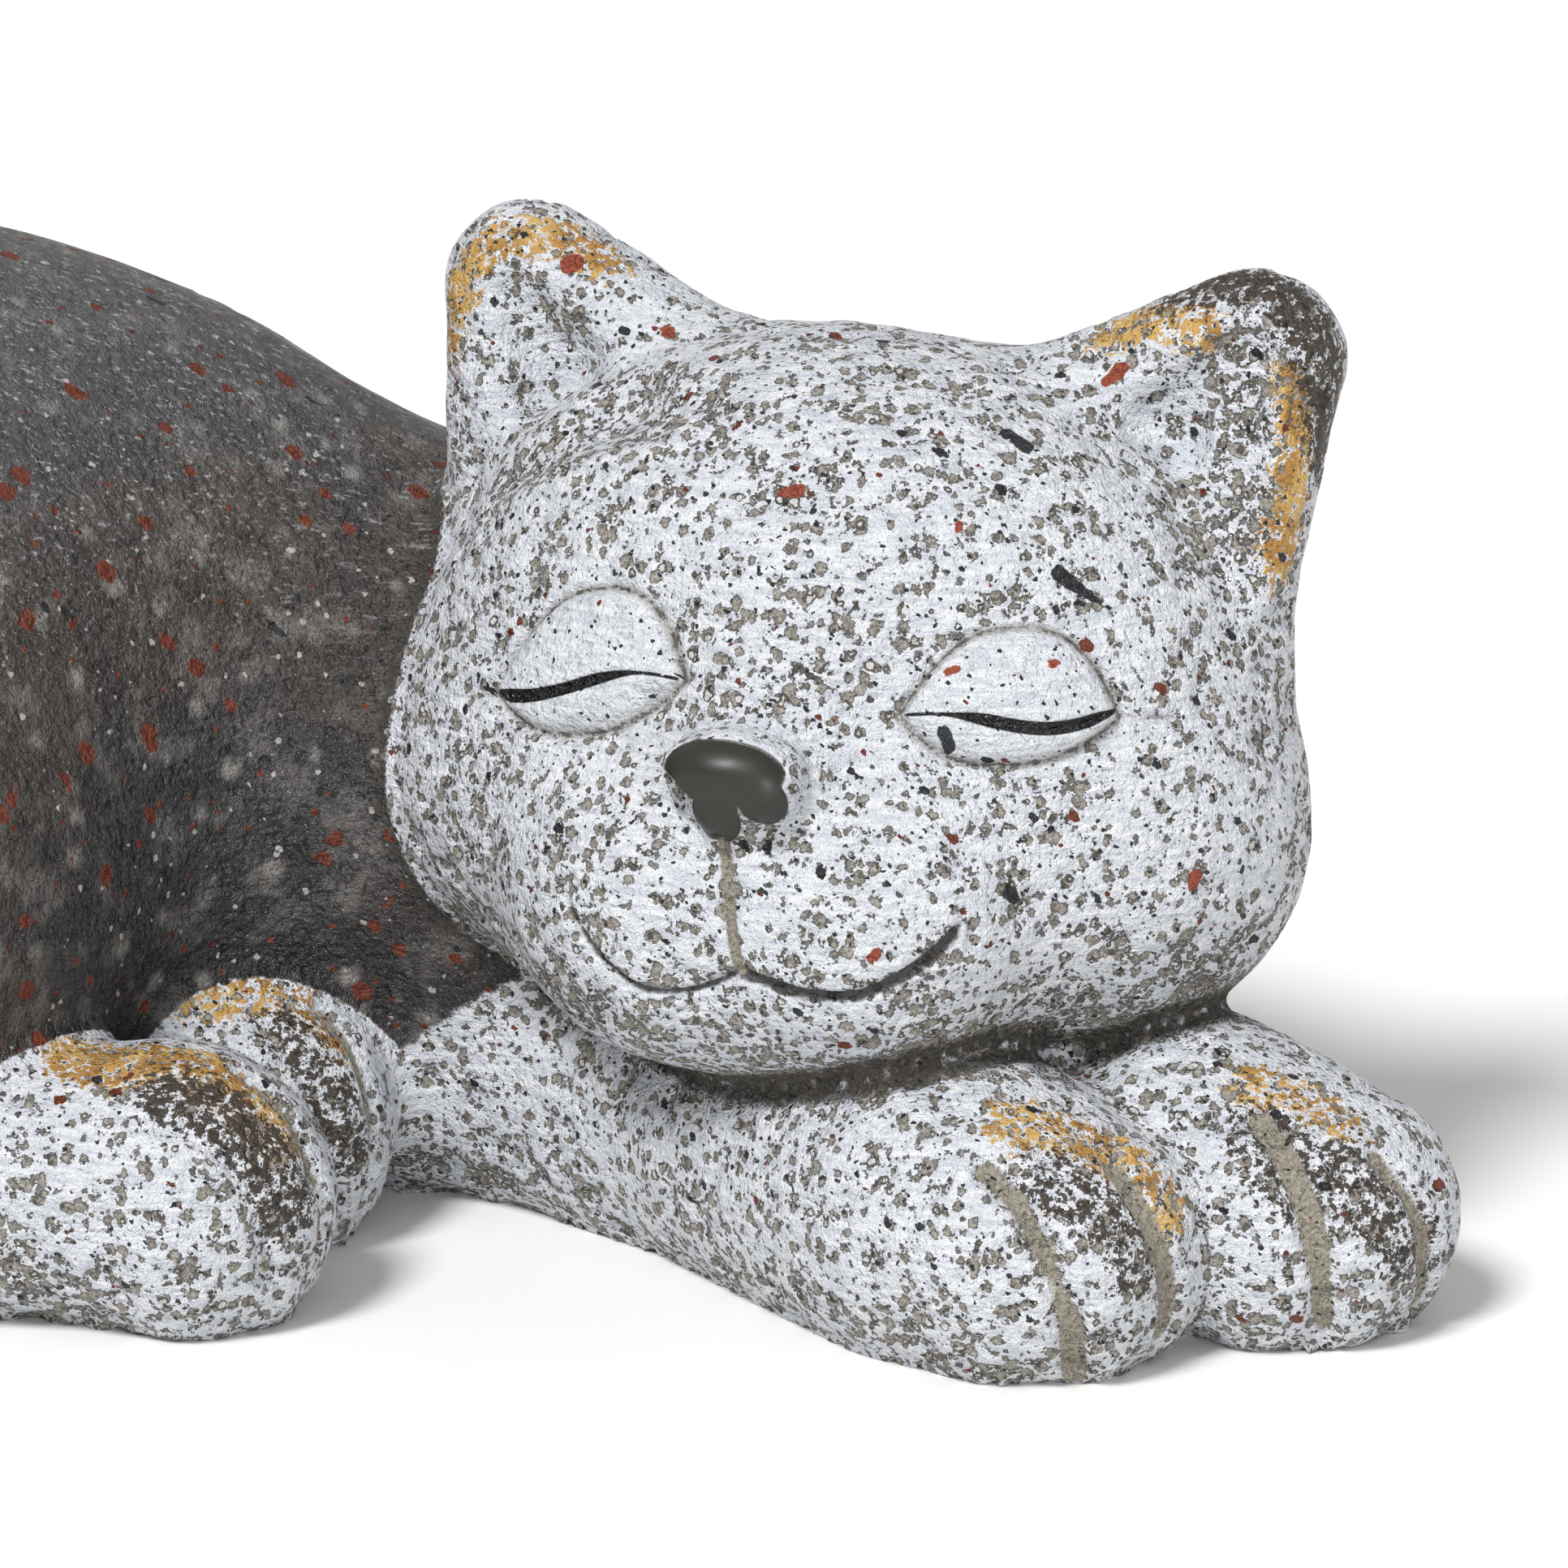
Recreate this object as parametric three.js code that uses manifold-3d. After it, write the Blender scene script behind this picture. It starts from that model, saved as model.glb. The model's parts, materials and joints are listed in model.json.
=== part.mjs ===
// A sleeping cat garden statue, cast in one piece.
// The head rests on both forelegs, and the curled body, hind feet and tail lie behind and beside it.
// Millimetres, +Z up, the face towards -Y. The origin is on the ground, under the middle of the casting.
import * as THREE from 'three';
import { mergeVertices } from 'three/addons/utils/BufferGeometryUtils.js';
import Module from 'manifold-3d';

// Head
const HEAD_WIDTH = 176;
const HEAD_HEIGHT = 134;
const HEAD_DEPTH = 104;
const CHIN_HEIGHT = 41;
const HEAD_TURN = 20;
const HEAD_TILT = 1.5;
const FACE_OFF_MIDDLE = 4.5;
const EYES_OFF_MIDDLE = 6.8;

// Ears
const EAR_HEIGHT = 49;
const EAR_ROUNDING = 17;
const EAR_THICKNESS = 30;
const EAR_HOLLOW_DEPTH = 12;

// Face: the almond of each shut eye, the nose and the carved lines
const EYE_WIDTH = 37;
const EYE_HEIGHT = 25;
const EYE_SPREAD = 82;
const EYELID_BULGE = 4;
const NOSE_WIDTH = 21;
const NOSE_HEIGHT = 19;
const FACE_LINE_WIDTH = 3.4;
const FACE_LINE_DEPTH = 1.9;

// Legs and feet
const PAW_WIDTH = 62;
const PAW_HEIGHT = 47;
const HIND_PAW_WIDTH = 52;
const HIND_PAW_HEIGHT = 49;
const FORELEG_WIDTH = 62;
const TOE_GROOVE_WIDTH = 5;
const TOE_GROOVE_DEPTH = 2.4;

// Body and tail
const BODY_LENGTH = 250;
const BODY_WIDTH = 200;
const BACK_HEIGHT = 196;
const TAIL_WIDTH = 40;

// Plan of the pose, in millimetres from the point under the middle of the head
const NEAR_PAW_AT = [35, -59];
const FAR_PAW_AT = [82, -41];
const NEAR_PAW_HEADING = -58;
const FAR_PAW_HEADING = -27;
const NEAR_HIND_PAW_AT = [-122, -39];
const FAR_HIND_PAW_AT = [-113, 8];
const NEAR_HIND_PAW_HEADING = -17;
const FAR_HIND_PAW_HEADING = -26;
const BODY_AT = [-205, 42];

// How finely the form is sampled, and how many triangles it keeps
const FINE_STEP = 2.2;
const COARSE_STEP = 5;
const BLOCK_SAMPLES = 6;
const BELOW_GROUND = 6;
const TRIANGLES_KEPT = 7600;
const FEATURE_WEIGHT = 5;
const KEPT_FACING = 0.3;
const LEAST_ROUNDNESS = 0.05;
const GRADIENT_STEP = 0.25;

const degrees = THREE.MathUtils.degToRad;
const clamp = THREE.MathUtils.clamp;
const smoothstep = THREE.MathUtils.smoothstep;

// A form is a function of x, y and z that gives the distance to its surface, negative inside.

function ellipsoid(centre, radii) {
  const [cx, cy, cz] = centre;
  const [rx, ry, rz] = radii;
  const least = Math.min(rx, ry, rz);
  return (x, y, z) => {
    const u = (x - cx) / rx;
    const v = (y - cy) / ry;
    const w = (z - cz) / rz;
    const share = Math.sqrt(u * u + v * v + w * w);
    const slope = Math.sqrt((u / rx) ** 2 + (v / ry) ** 2 + (w / rz) ** 2);
    return share < 0.05 ? -least : share * (share - 1) / slope;
  };
}

// A limb is a round bar from one point to another, with its own radius at each end.
function limb(start, end, startRadius, endRadius) {
  const [ax, ay, az] = start;
  const dx = end[0] - ax;
  const dy = end[1] - ay;
  const dz = end[2] - az;
  const square = dx * dx + dy * dy + dz * dz;
  return (x, y, z) => {
    const along = clamp(((x - ax) * dx + (y - ay) * dy + (z - az) * dz) / square, 0, 1);
    const px = x - ax - dx * along;
    const py = y - ay - dy * along;
    const pz = z - az - dz * along;
    return Math.sqrt(px * px + py * py + pz * pz) - startRadius - (endRadius - startRadius) * along;
  };
}

// A flap is an upright triangle, thickened all round to a rounded plate that is thinner from front to back.
function flap(corners, rounding, thickness) {
  const squash = 2 * rounding / thickness;
  const [a, b, c] = corners.map(([x, y, z]) => new THREE.Vector3(x, squash * y, z));
  const plate = new THREE.Triangle(a, b, c);
  const point = new THREE.Vector3();
  const nearest = new THREE.Vector3();
  return (x, y, z) => {
    point.set(x, squash * y, z);
    plate.closestPointToPoint(point, nearest);
    return nearest.distanceTo(point) - rounding;
  };
}

function meet(a, b, blend) {
  const near = Math.max(blend - Math.abs(a - b), 0) / blend;
  return Math.min(a, b) - near * near * blend / 4;
}

function cut(a, b, blend) {
  return -meet(-a, b, blend);
}

function joined(blend, ...forms) {
  return (x, y, z) => {
    let distance = forms[0](x, y, z);
    for (let i = 1; i < forms.length; i += 1) {
      distance = meet(distance, forms[i](x, y, z), blend);
    }
    return distance;
  };
}

// A bell is 1 at the middle of a carved line and fades to 0 beside it.
function bell(offset, width) {
  return Math.exp(-((2 * offset / width) ** 2));
}

// The same form made in its own frame, then turned about the upright axis, tilted and set in place.
function placed(form, at, turn, tilt, reach) {
  const frame = new THREE.Matrix4().makeRotationZ(-degrees(turn));
  frame.multiply(new THREE.Matrix4().makeRotationY(degrees(tilt)));
  frame.setPosition(...at);
  const e = frame.invert().elements;
  return (x, y, z) => {
    const away = Math.sqrt((x - at[0]) ** 2 + (y - at[1]) ** 2 + (z - at[2]) ** 2) - reach;
    if (away > reach) return away;
    return form(
      e[0] * x + e[4] * y + e[8] * z + e[12],
      e[1] * x + e[5] * y + e[9] * z + e[13],
      e[2] * x + e[6] * y + e[10] * z + e[14],
    );
  };
}

// Head: made facing -Y with its middle at the origin, in shares of its own width, depth and height
const headPoint = (x, y, z) => [x * HEAD_WIDTH, y * HEAD_DEPTH, z * HEAD_HEIGHT];

const skull = joined(
  26,
  ellipsoid(headPoint(0, 0.08, 0.09), headPoint(0.44, 0.54, 0.42)),
  ellipsoid(headPoint(0.23, 0.05, -0.165), headPoint(0.284, 0.46, 0.31)),
  ellipsoid(headPoint(-0.23, 0.05, -0.165), headPoint(0.284, 0.46, 0.285)),
  ellipsoid(headPoint(0, -0.34, -0.2), headPoint(0.25, 0.28, 0.22)),
  ellipsoid(headPoint(0, -0.3, -0.32), headPoint(0.2, 0.22, 0.11)),
);

const muzzle = joined(
  9,
  ellipsoid(headPoint(0.108, -0.45, -0.215), headPoint(0.14, 0.2, 0.17)),
  ellipsoid(headPoint(-0.108, -0.45, -0.215), headPoint(0.14, 0.2, 0.17)),
  limb(headPoint(0, -0.3, 0.14), headPoint(0, -0.52, -0.02), 0.11 * HEAD_WIDTH, 0.06 * HEAD_WIDTH),
);

const NOSE_AT = headPoint(0, -0.615, -0.01);

const nose = joined(
  3,
  ellipsoid([0, NOSE_AT[1], NOSE_AT[2] + 0.12 * NOSE_HEIGHT], [0.5 * NOSE_WIDTH, 9, 0.38 * NOSE_HEIGHT]),
  ellipsoid([0, NOSE_AT[1] + 1, NOSE_AT[2] - 0.2 * NOSE_HEIGHT], [0.27 * NOSE_WIDTH, 8, 0.4 * NOSE_HEIGHT]),
);

// Each ear is a cup: a flap with a hollow that widens from near its tip down to a deep pocket at its foot.
function ear(side) {
  const tip = [side * 0.41 * HEAD_WIDTH, 0.24 * HEAD_DEPTH, 0.13 * HEAD_HEIGHT + EAR_HEIGHT];
  const inner = [side * 0.15 * HEAD_WIDTH, 0.2 * HEAD_DEPTH, 0.33 * HEAD_HEIGHT];
  const outer = [side * 0.375 * HEAD_WIDTH, 0.13 * HEAD_DEPTH, 0.12 * HEAD_HEIGHT];
  const shell = flap([tip, inner, outer], EAR_ROUNDING, EAR_THICKNESS);
  const pocketRadius = 0.85 * EAR_ROUNDING;
  const pocketAt = [side * 0.31 * HEAD_WIDTH, 0.2 * HEAD_DEPTH - EAR_THICKNESS / 2, 0.35 * HEAD_HEIGHT];
  pocketAt[1] += EAR_HOLLOW_DEPTH - pocketRadius;
  const hollow = limb(
    [0.97 * tip[0], tip[1] - EAR_THICKNESS / 2, tip[2] + 1],
    pocketAt,
    0.25 * EAR_ROUNDING,
    pocketRadius,
  );
  return (x, y, z) => cut(shell(x, y, z), hollow(x, y, z), 8);
}

const leftEar = ear(-1);
const rightEar = ear(1);

// Each shut eye is an almond with a line pressed in round it and another where the lids meet.
// The slant is how much its outer corner rises, and the line of the lids sags and sways from straight.
const eyes = [
  { side: -1, at: 0.042 * HEAD_HEIGHT, slant: -0.19, sag: 0, sway: 1.8 },
  { side: 1, at: 0.067 * HEAD_HEIGHT, slant: 0.04, sag: 2.7, sway: 0.4 },
];
const UPPER_SHARE = 0.66;

function eyeCarving(x, z) {
  const eye = x < 0 ? eyes[0] : eyes[1];
  const outward = eye.side * x - EYE_SPREAD / 2;
  const across = outward / (EYE_WIDTH / 2);
  const up = z - eye.at - eye.slant * outward;
  const reach = up > 0 ? UPPER_SHARE * EYE_HEIGHT : (1 - UPPER_SHARE) * EYE_HEIGHT;
  const level = Math.abs(across) ** 2.5 + Math.abs(up) / reach;
  if (level > 2) return 0;
  const slope = Math.hypot(5 * Math.abs(across) ** 1.5 / EYE_WIDTH, 1 / reach);
  const crease = bell((level - 1) / slope, FACE_LINE_WIDTH);
  const meeting = up + eye.sag * (1 - across * across) ** 2 + eye.sway * Math.sin(Math.PI * across);
  const lashes = bell(meeting, FACE_LINE_WIDTH) * smoothstep(1 - level, 0, 0.2);
  return FACE_LINE_DEPTH * Math.max(crease, lashes) - EYELID_BULGE * smoothstep(1 - level, 0, 0.9);
}

// The mouth's line, and the one that runs up from it to the nose
const MOUTH_REACH = 0.205 * HEAD_WIDTH;
const MOUTH_LOW_AT = 0.1 * HEAD_WIDTH;
const MOUTH_AT = -0.315 * HEAD_HEIGHT;

function mouthLine(side) {
  const past = side - MOUTH_LOW_AT;
  const rise = past < 0 ? 0.045 * HEAD_HEIGHT : 0.1 * HEAD_HEIGHT;
  const run = past < 0 ? MOUTH_LOW_AT : MOUTH_REACH - MOUTH_LOW_AT;
  return MOUTH_AT + rise * (past / run) ** 2;
}

function mouthCarving(x, z) {
  const side = Math.abs(x);
  const slope = side < MOUTH_LOW_AT ? 1.2 : 1 + 1.5 * (side - MOUTH_LOW_AT) / MOUTH_REACH;
  const smile = bell((z - mouthLine(side)) / slope, FACE_LINE_WIDTH)
    * smoothstep(MOUTH_REACH - side, -1, 4);
  const furrow = bell(x, FACE_LINE_WIDTH)
    * smoothstep(NOSE_AT[2] - 0.4 * NOSE_HEIGHT - z, 0, 3)
    * smoothstep(z - MOUTH_AT, 4, 6);
  return 1.2 * FACE_LINE_DEPTH * Math.max(smile, furrow);
}

function head(x, y, z) {
  const faceX = x - FACE_OFF_MIDDLE;
  let distance = skull(x, y, z);
  distance = meet(distance, leftEar(x, y, z), 9);
  distance = meet(distance, rightEar(x, y, z), 9);
  distance = meet(distance, muzzle(faceX, y, z), 14);
  distance = meet(distance, nose(faceX, y, z), 2);
  const front = smoothstep(-y, 0, 0.2 * HEAD_DEPTH);
  if (front > 0 && distance < 12) {
    distance += front * (eyeCarving(x - EYES_OFF_MIDDLE, z) + mouthCarving(faceX, z));
  }
  return distance;
}

const HEAD_CENTRE = [0, 0, CHIN_HEIGHT + HEAD_HEIGHT / 2];
const placedHead = placed(head, HEAD_CENTRE, HEAD_TURN, HEAD_TILT, 0.85 * HEAD_WIDTH);

// A paw is made pointing along +X: a rounded foot with three toes, and two grooves between them.
const TOE_ANGLES = [-46, 0, 46];
const GROOVE_OFFSETS = [-0.16, 0.16];
const GROOVE_FAN = 11;

function paw(width, height) {
  const foot = ellipsoid([0, 0, 0.47 * height], [0.53 * width, 0.48 * width, 0.53 * height]);
  const toes = TOE_ANGLES.map((angle) => ellipsoid(
    [0.32 * width * Math.cos(degrees(angle)), 0.31 * width * Math.sin(degrees(angle)), 0.4 * height],
    [0.22 * width, 0.21 * width, 0.43 * height],
  ));
  const shape = joined(7, foot, ...toes);
  return (x, y, z) => {
    const distance = shape(x, y, z);
    if (distance > 10) return distance;
    let carving = 0;
    for (const offset of GROOVE_OFFSETS) {
      const fan = degrees(Math.sign(offset) * GROOVE_FAN);
      const aside = (y - offset * width) * Math.cos(fan) - x * Math.sin(fan);
      const along = smoothstep(x, -0.05 * width, 0.1 * width);
      carving = Math.max(carving, bell(aside, TOE_GROOVE_WIDTH) * along);
    }
    return distance + TOE_GROOVE_DEPTH * carving;
  };
}

function placedPaw(at, heading, width, height) {
  return placed(paw(width, height), [at[0], at[1], 0], -heading, 0, width);
}

// Forelegs: a bent upper arm beside the chest and a forearm that runs out under the chin to its paw
function foreleg(elbow, pawAt, shoulder) {
  const radius = FORELEG_WIDTH / 2;
  const wrist = [pawAt[0] - 0.25 * PAW_WIDTH, pawAt[1] + 0.13 * PAW_WIDTH, 0.5 * PAW_HEIGHT];
  return joined(
    14,
    limb(shoulder, elbow, 1.1 * radius, 1.02 * radius),
    limb(elbow, wrist, 1.02 * radius, radius),
  );
}

const nearForeleg = joined(
  12,
  limb([-84, 46, 27], [-50, 38, 27], 30, 30),
  foreleg([-30, 26, 24], NEAR_PAW_AT, [-66, 44, 56]),
  placedPaw(NEAR_PAW_AT, NEAR_PAW_HEADING, PAW_WIDTH, PAW_HEIGHT),
);
const farForeleg = joined(
  10,
  foreleg([10, 58, 27], FAR_PAW_AT, [-10, 70, 58]),
  placedPaw(FAR_PAW_AT, FAR_PAW_HEADING, PAW_WIDTH, PAW_HEIGHT),
);

// Chest: it fills the room under the head, between the two forelegs.
const chest = ellipsoid([8, 20, 0.9 * PAW_HEIGHT], [30, 26, 0.5 * PAW_HEIGHT]);

// Hind feet: they come out from under the flank and lie side by side.
function hindFoot(at, heading, heel) {
  return joined(
    10,
    limb(
      [heel[0], heel[1], 0.5 * HIND_PAW_HEIGHT],
      [at[0] - 0.1 * HIND_PAW_WIDTH, at[1], 0.49 * HIND_PAW_HEIGHT],
      0.5 * HIND_PAW_WIDTH,
      0.48 * HIND_PAW_WIDTH,
    ),
    placedPaw(at, heading, HIND_PAW_WIDTH, HIND_PAW_HEIGHT),
  );
}

const hindFeet = joined(
  4,
  hindFoot(NEAR_HIND_PAW_AT, NEAR_HIND_PAW_HEADING, [-218, -29]),
  hindFoot(FAR_HIND_PAW_AT, FAR_HIND_PAW_HEADING, [-175, 25]),
);

// Body: the tall curled back, shoulders, nape and thighs, in shares of the body's own sizes
const bodyPoint = (x, y, z) => [
  BODY_AT[0] + x * BODY_LENGTH,
  BODY_AT[1] + y * BODY_WIDTH,
  z * BACK_HEIGHT,
];
const bodySize = (x, y, z) => [x * BODY_LENGTH, y * BODY_WIDTH, z * BACK_HEIGHT];

const body = joined(
  34,
  ellipsoid(bodyPoint(-0.07, -0.035, 0.42), bodySize(0.43, 0.46, 0.53)),
  ellipsoid(bodyPoint(0.08, 0.1, 0.42), bodySize(0.51, 0.31, 0.52)),
  ellipsoid(bodyPoint(0.6, 0.12, 0.37), bodySize(0.32, 0.32, 0.32)),
  ellipsoid(bodyPoint(0.82, 0.07, 0.51), bodySize(0.24, 0.22, 0.235)),
  ellipsoid(bodyPoint(-0.07, -0.32, 0.35), bodySize(0.29, 0.21, 0.32)),
  ellipsoid(bodyPoint(-0.04, 0.33, 0.33), bodySize(0.29, 0.19, 0.31)),
);

// Tail: short lengths along an arc that hugs the foot of the rump from behind to the near side
const TAIL_START = 98;
const TAIL_END = 236;
const TAIL_LENGTHS = 14;

function tailPoint(share) {
  const angle = degrees(THREE.MathUtils.lerp(TAIL_START, TAIL_END, share));
  const rise = 0.5 * TAIL_WIDTH + 26 * (1 - share) ** 3;
  const drawnIn = 1 - 0.2 * (1 - share) ** 4;
  return [
    BODY_AT[0] + 0.47 * BODY_LENGTH * drawnIn * Math.cos(angle),
    BODY_AT[1] + 0.5 * BODY_WIDTH * drawnIn * Math.sin(angle),
    rise,
  ];
}

const tailRadius = (share) => TAIL_WIDTH / 2 * (1.12 - 0.3 * share);
const tail = joined(1, ...Array.from({ length: TAIL_LENGTHS }, (_, i) => limb(
  tailPoint(i / TAIL_LENGTHS),
  tailPoint((i + 1) / TAIL_LENGTHS),
  tailRadius(i / TAIL_LENGTHS),
  tailRadius((i + 1) / TAIL_LENGTHS),
)));

function cat(x, y, z) {
  let distance = body(x, y, z);
  distance = meet(distance, tail(x, y, z), 7);
  distance = meet(distance, hindFeet(x, y, z), 9);
  distance = meet(distance, nearForeleg(x, y, z), 9);
  distance = meet(distance, farForeleg(x, y, z), 5);
  distance = meet(distance, chest(x, y, z), 5);
  distance = meet(distance, placedHead(x, y, z), 5);
  return Math.max(distance, -z - BELOW_GROUND);
}

// The surface of a form, as shared vertices and triangles.
// The sampling grid has lines closer together where the carving is. Each of its cells is six tetrahedra
// round their common diagonal, so the surface always closes.
const PATHS = [[1, 3], [1, 5], [4, 5], [4, 6], [2, 6], [2, 3]];

function gridLines(low, high, fineLow, fineHigh) {
  const lines = [low];
  while (lines.at(-1) < high) {
    const last = lines.at(-1);
    lines.push(last + (last >= fineLow && last < fineHigh ? FINE_STEP : COARSE_STEP));
  }
  return lines;
}

function sampled(form, grid) {
  const counts = grid.map((lines) => lines.length);
  const [nx, ny, nz] = counts;
  const values = new Float32Array(nx * ny * nz);
  const starts = (n) => Array.from({ length: Math.ceil(n / BLOCK_SAMPLES) }, (_, i) => i * BLOCK_SAMPLES);
  for (const k of starts(nz)) {
    for (const j of starts(ny)) {
      for (const i of starts(nx)) {
        const first = [i, j, k];
        const last = first.map((start, axis) => Math.min(start + BLOCK_SAMPLES, counts[axis]) - 1);
        const from = first.map((start, axis) => grid[axis][start]);
        const to = last.map((end, axis) => grid[axis][end]);
        const middle = form((from[0] + to[0]) / 2, (from[1] + to[1]) / 2, (from[2] + to[2]) / 2);
        const reach = Math.hypot(to[0] - from[0], to[1] - from[1], to[2] - from[2]) / 2;
        const clear = Math.abs(middle) > 1.4 * reach + COARSE_STEP;
        for (let c = k; c <= last[2]; c += 1) {
          for (let b = j; b <= last[1]; b += 1) {
            for (let a = i; a <= last[0]; a += 1) {
              values[a + nx * (b + ny * c)] = clear ? middle : form(grid[0][a], grid[1][b], grid[2][c]);
            }
          }
        }
      }
    }
  }
  return values;
}

function surfaceOf(form, grid) {
  const values = sampled(form, grid);
  const [nx, ny, nz] = grid.map((lines) => lines.length);
  const positions = [];
  const triangles = [];
  const known = new Map();
  const place = (n) => [
    grid[0][n % nx],
    grid[1][Math.floor(n / nx) % ny],
    grid[2][Math.floor(n / (nx * ny))],
  ];
  const crossing = (inside, outside) => {
    const key = inside < outside ? inside * values.length + outside : outside * values.length + inside;
    if (known.has(key)) return known.get(key);
    const share = clamp(values[inside] / (values[inside] - values[outside]), 0.03, 0.97);
    const a = place(inside);
    const b = place(outside);
    positions.push(...a.map((value, axis) => value + (b[axis] - value) * share));
    known.set(key, positions.length / 3 - 1);
    return positions.length / 3 - 1;
  };
  const outward = new THREE.Vector3();
  const normal = new THREE.Vector3();
  const corner = [new THREE.Vector3(), new THREE.Vector3(), new THREE.Vector3()];
  const addTriangle = (ids) => {
    ids.forEach((id, k) => corner[k].fromArray(positions, 3 * id));
    normal.crossVectors(corner[1].clone().sub(corner[0]), corner[2].clone().sub(corner[0]));
    triangles.push(...(normal.dot(outward) > 0 ? ids : [ids[0], ids[2], ids[1]]));
  };
  const addTetrahedron = (ids) => {
    const inside = ids.filter((n) => values[n] < 0);
    const outside = ids.filter((n) => values[n] >= 0);
    if (inside.length === 0 || outside.length === 0) return;
    outward.set(0, 0, 0);
    outside.forEach((n) => outward.addScaledVector(new THREE.Vector3(...place(n)), 1 / outside.length));
    inside.forEach((n) => outward.addScaledVector(new THREE.Vector3(...place(n)), -1 / inside.length));
    if (inside.length === 2) {
      const [a, b] = inside;
      const [c, d] = outside;
      addTriangle([crossing(a, c), crossing(b, c), crossing(b, d)]);
      addTriangle([crossing(a, c), crossing(b, d), crossing(a, d)]);
    } else if (inside.length === 1) {
      addTriangle(outside.map((n) => crossing(inside[0], n)));
    } else {
      addTriangle(inside.map((n) => crossing(n, outside[0])));
    }
  };
  for (let k = 0; k < nz - 1; k += 1) {
    for (let j = 0; j < ny - 1; j += 1) {
      for (let i = 0; i < nx - 1; i += 1) {
        const first = i + nx * (j + ny * k);
        const corners = [];
        let signs = 0;
        for (let n = 0; n < 8; n += 1) {
          corners.push(first + (n & 1) + nx * ((n >> 1) & 1) + nx * ny * (n >> 2));
          signs += values[corners[n]] < 0 ? 1 : 0;
        }
        if (signs > 0 && signs < 8) {
          for (const [a, b] of PATHS) addTetrahedron([corners[0], corners[a], corners[b], corners[7]]);
        }
      }
    }
  }
  return { positions, triangles };
}

// Moves each vertex onto the exact surface of the form.
function settle(form, positions, reach) {
  for (let i = 0; i < positions.length; i += 3) {
    for (let pass = 0; pass < 2; pass += 1) {
      const [x, y, z] = positions.slice(i, i + 3);
      const distance = form(x, y, z);
      const gradient = [
        form(x + GRADIENT_STEP, y, z) - form(x - GRADIENT_STEP, y, z),
        form(x, y + GRADIENT_STEP, z) - form(x, y - GRADIENT_STEP, z),
        form(x, y, z + GRADIENT_STEP) - form(x, y, z - GRADIENT_STEP),
      ].map((change) => change / (2 * GRADIENT_STEP));
      const square = Math.max(gradient[0] ** 2 + gradient[1] ** 2 + gradient[2] ** 2, 0.5);
      const move = clamp(distance / square, -reach, reach);
      for (let k = 0; k < 3; k += 1) positions[i + k] -= move * gradient[k];
    }
  }
}

// A queue that gives back the entry with the least cost first.
class CostQueue {
  constructor() {
    this.entries = [];
  }

  push(entry) {
    const { entries } = this;
    let i = entries.length;
    entries.push(entry);
    while (i > 0) {
      const parent = (i - 1) >> 1;
      if (entries[parent].cost <= entry.cost) break;
      entries[i] = entries[parent];
      i = parent;
    }
    entries[i] = entry;
  }

  pop() {
    const { entries } = this;
    const best = entries[0];
    const last = entries.pop();
    if (entries.length === 0) return best;
    let i = 0;
    for (;;) {
      let child = 2 * i + 1;
      if (child >= entries.length) break;
      if (child + 1 < entries.length && entries[child + 1].cost < entries[child].cost) child += 1;
      if (entries[child].cost >= last.cost) break;
      entries[i] = entries[child];
      i = child;
    }
    entries[i] = last;
    return best;
  }
}

// The error of moving a vertex, as the sum of squared distances to the planes that met there:
// ten numbers, the upper half of a symmetric 4 by 4 matrix.
function planeError(error, normal, offset, weight) {
  const plane = [normal.x, normal.y, normal.z, offset];
  let n = 0;
  for (let i = 0; i < 4; i += 1) {
    for (let j = i; j < 4; j += 1) {
      error[n] += weight * plane[i] * plane[j];
      n += 1;
    }
  }
}

function errorAt(e, x, y, z) {
  return e[0] * x * x + e[4] * y * y + e[7] * z * z + e[9]
    + 2 * (e[1] * x * y + e[2] * x * z + e[5] * y * z + e[3] * x + e[6] * y + e[8] * z);
}

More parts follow.
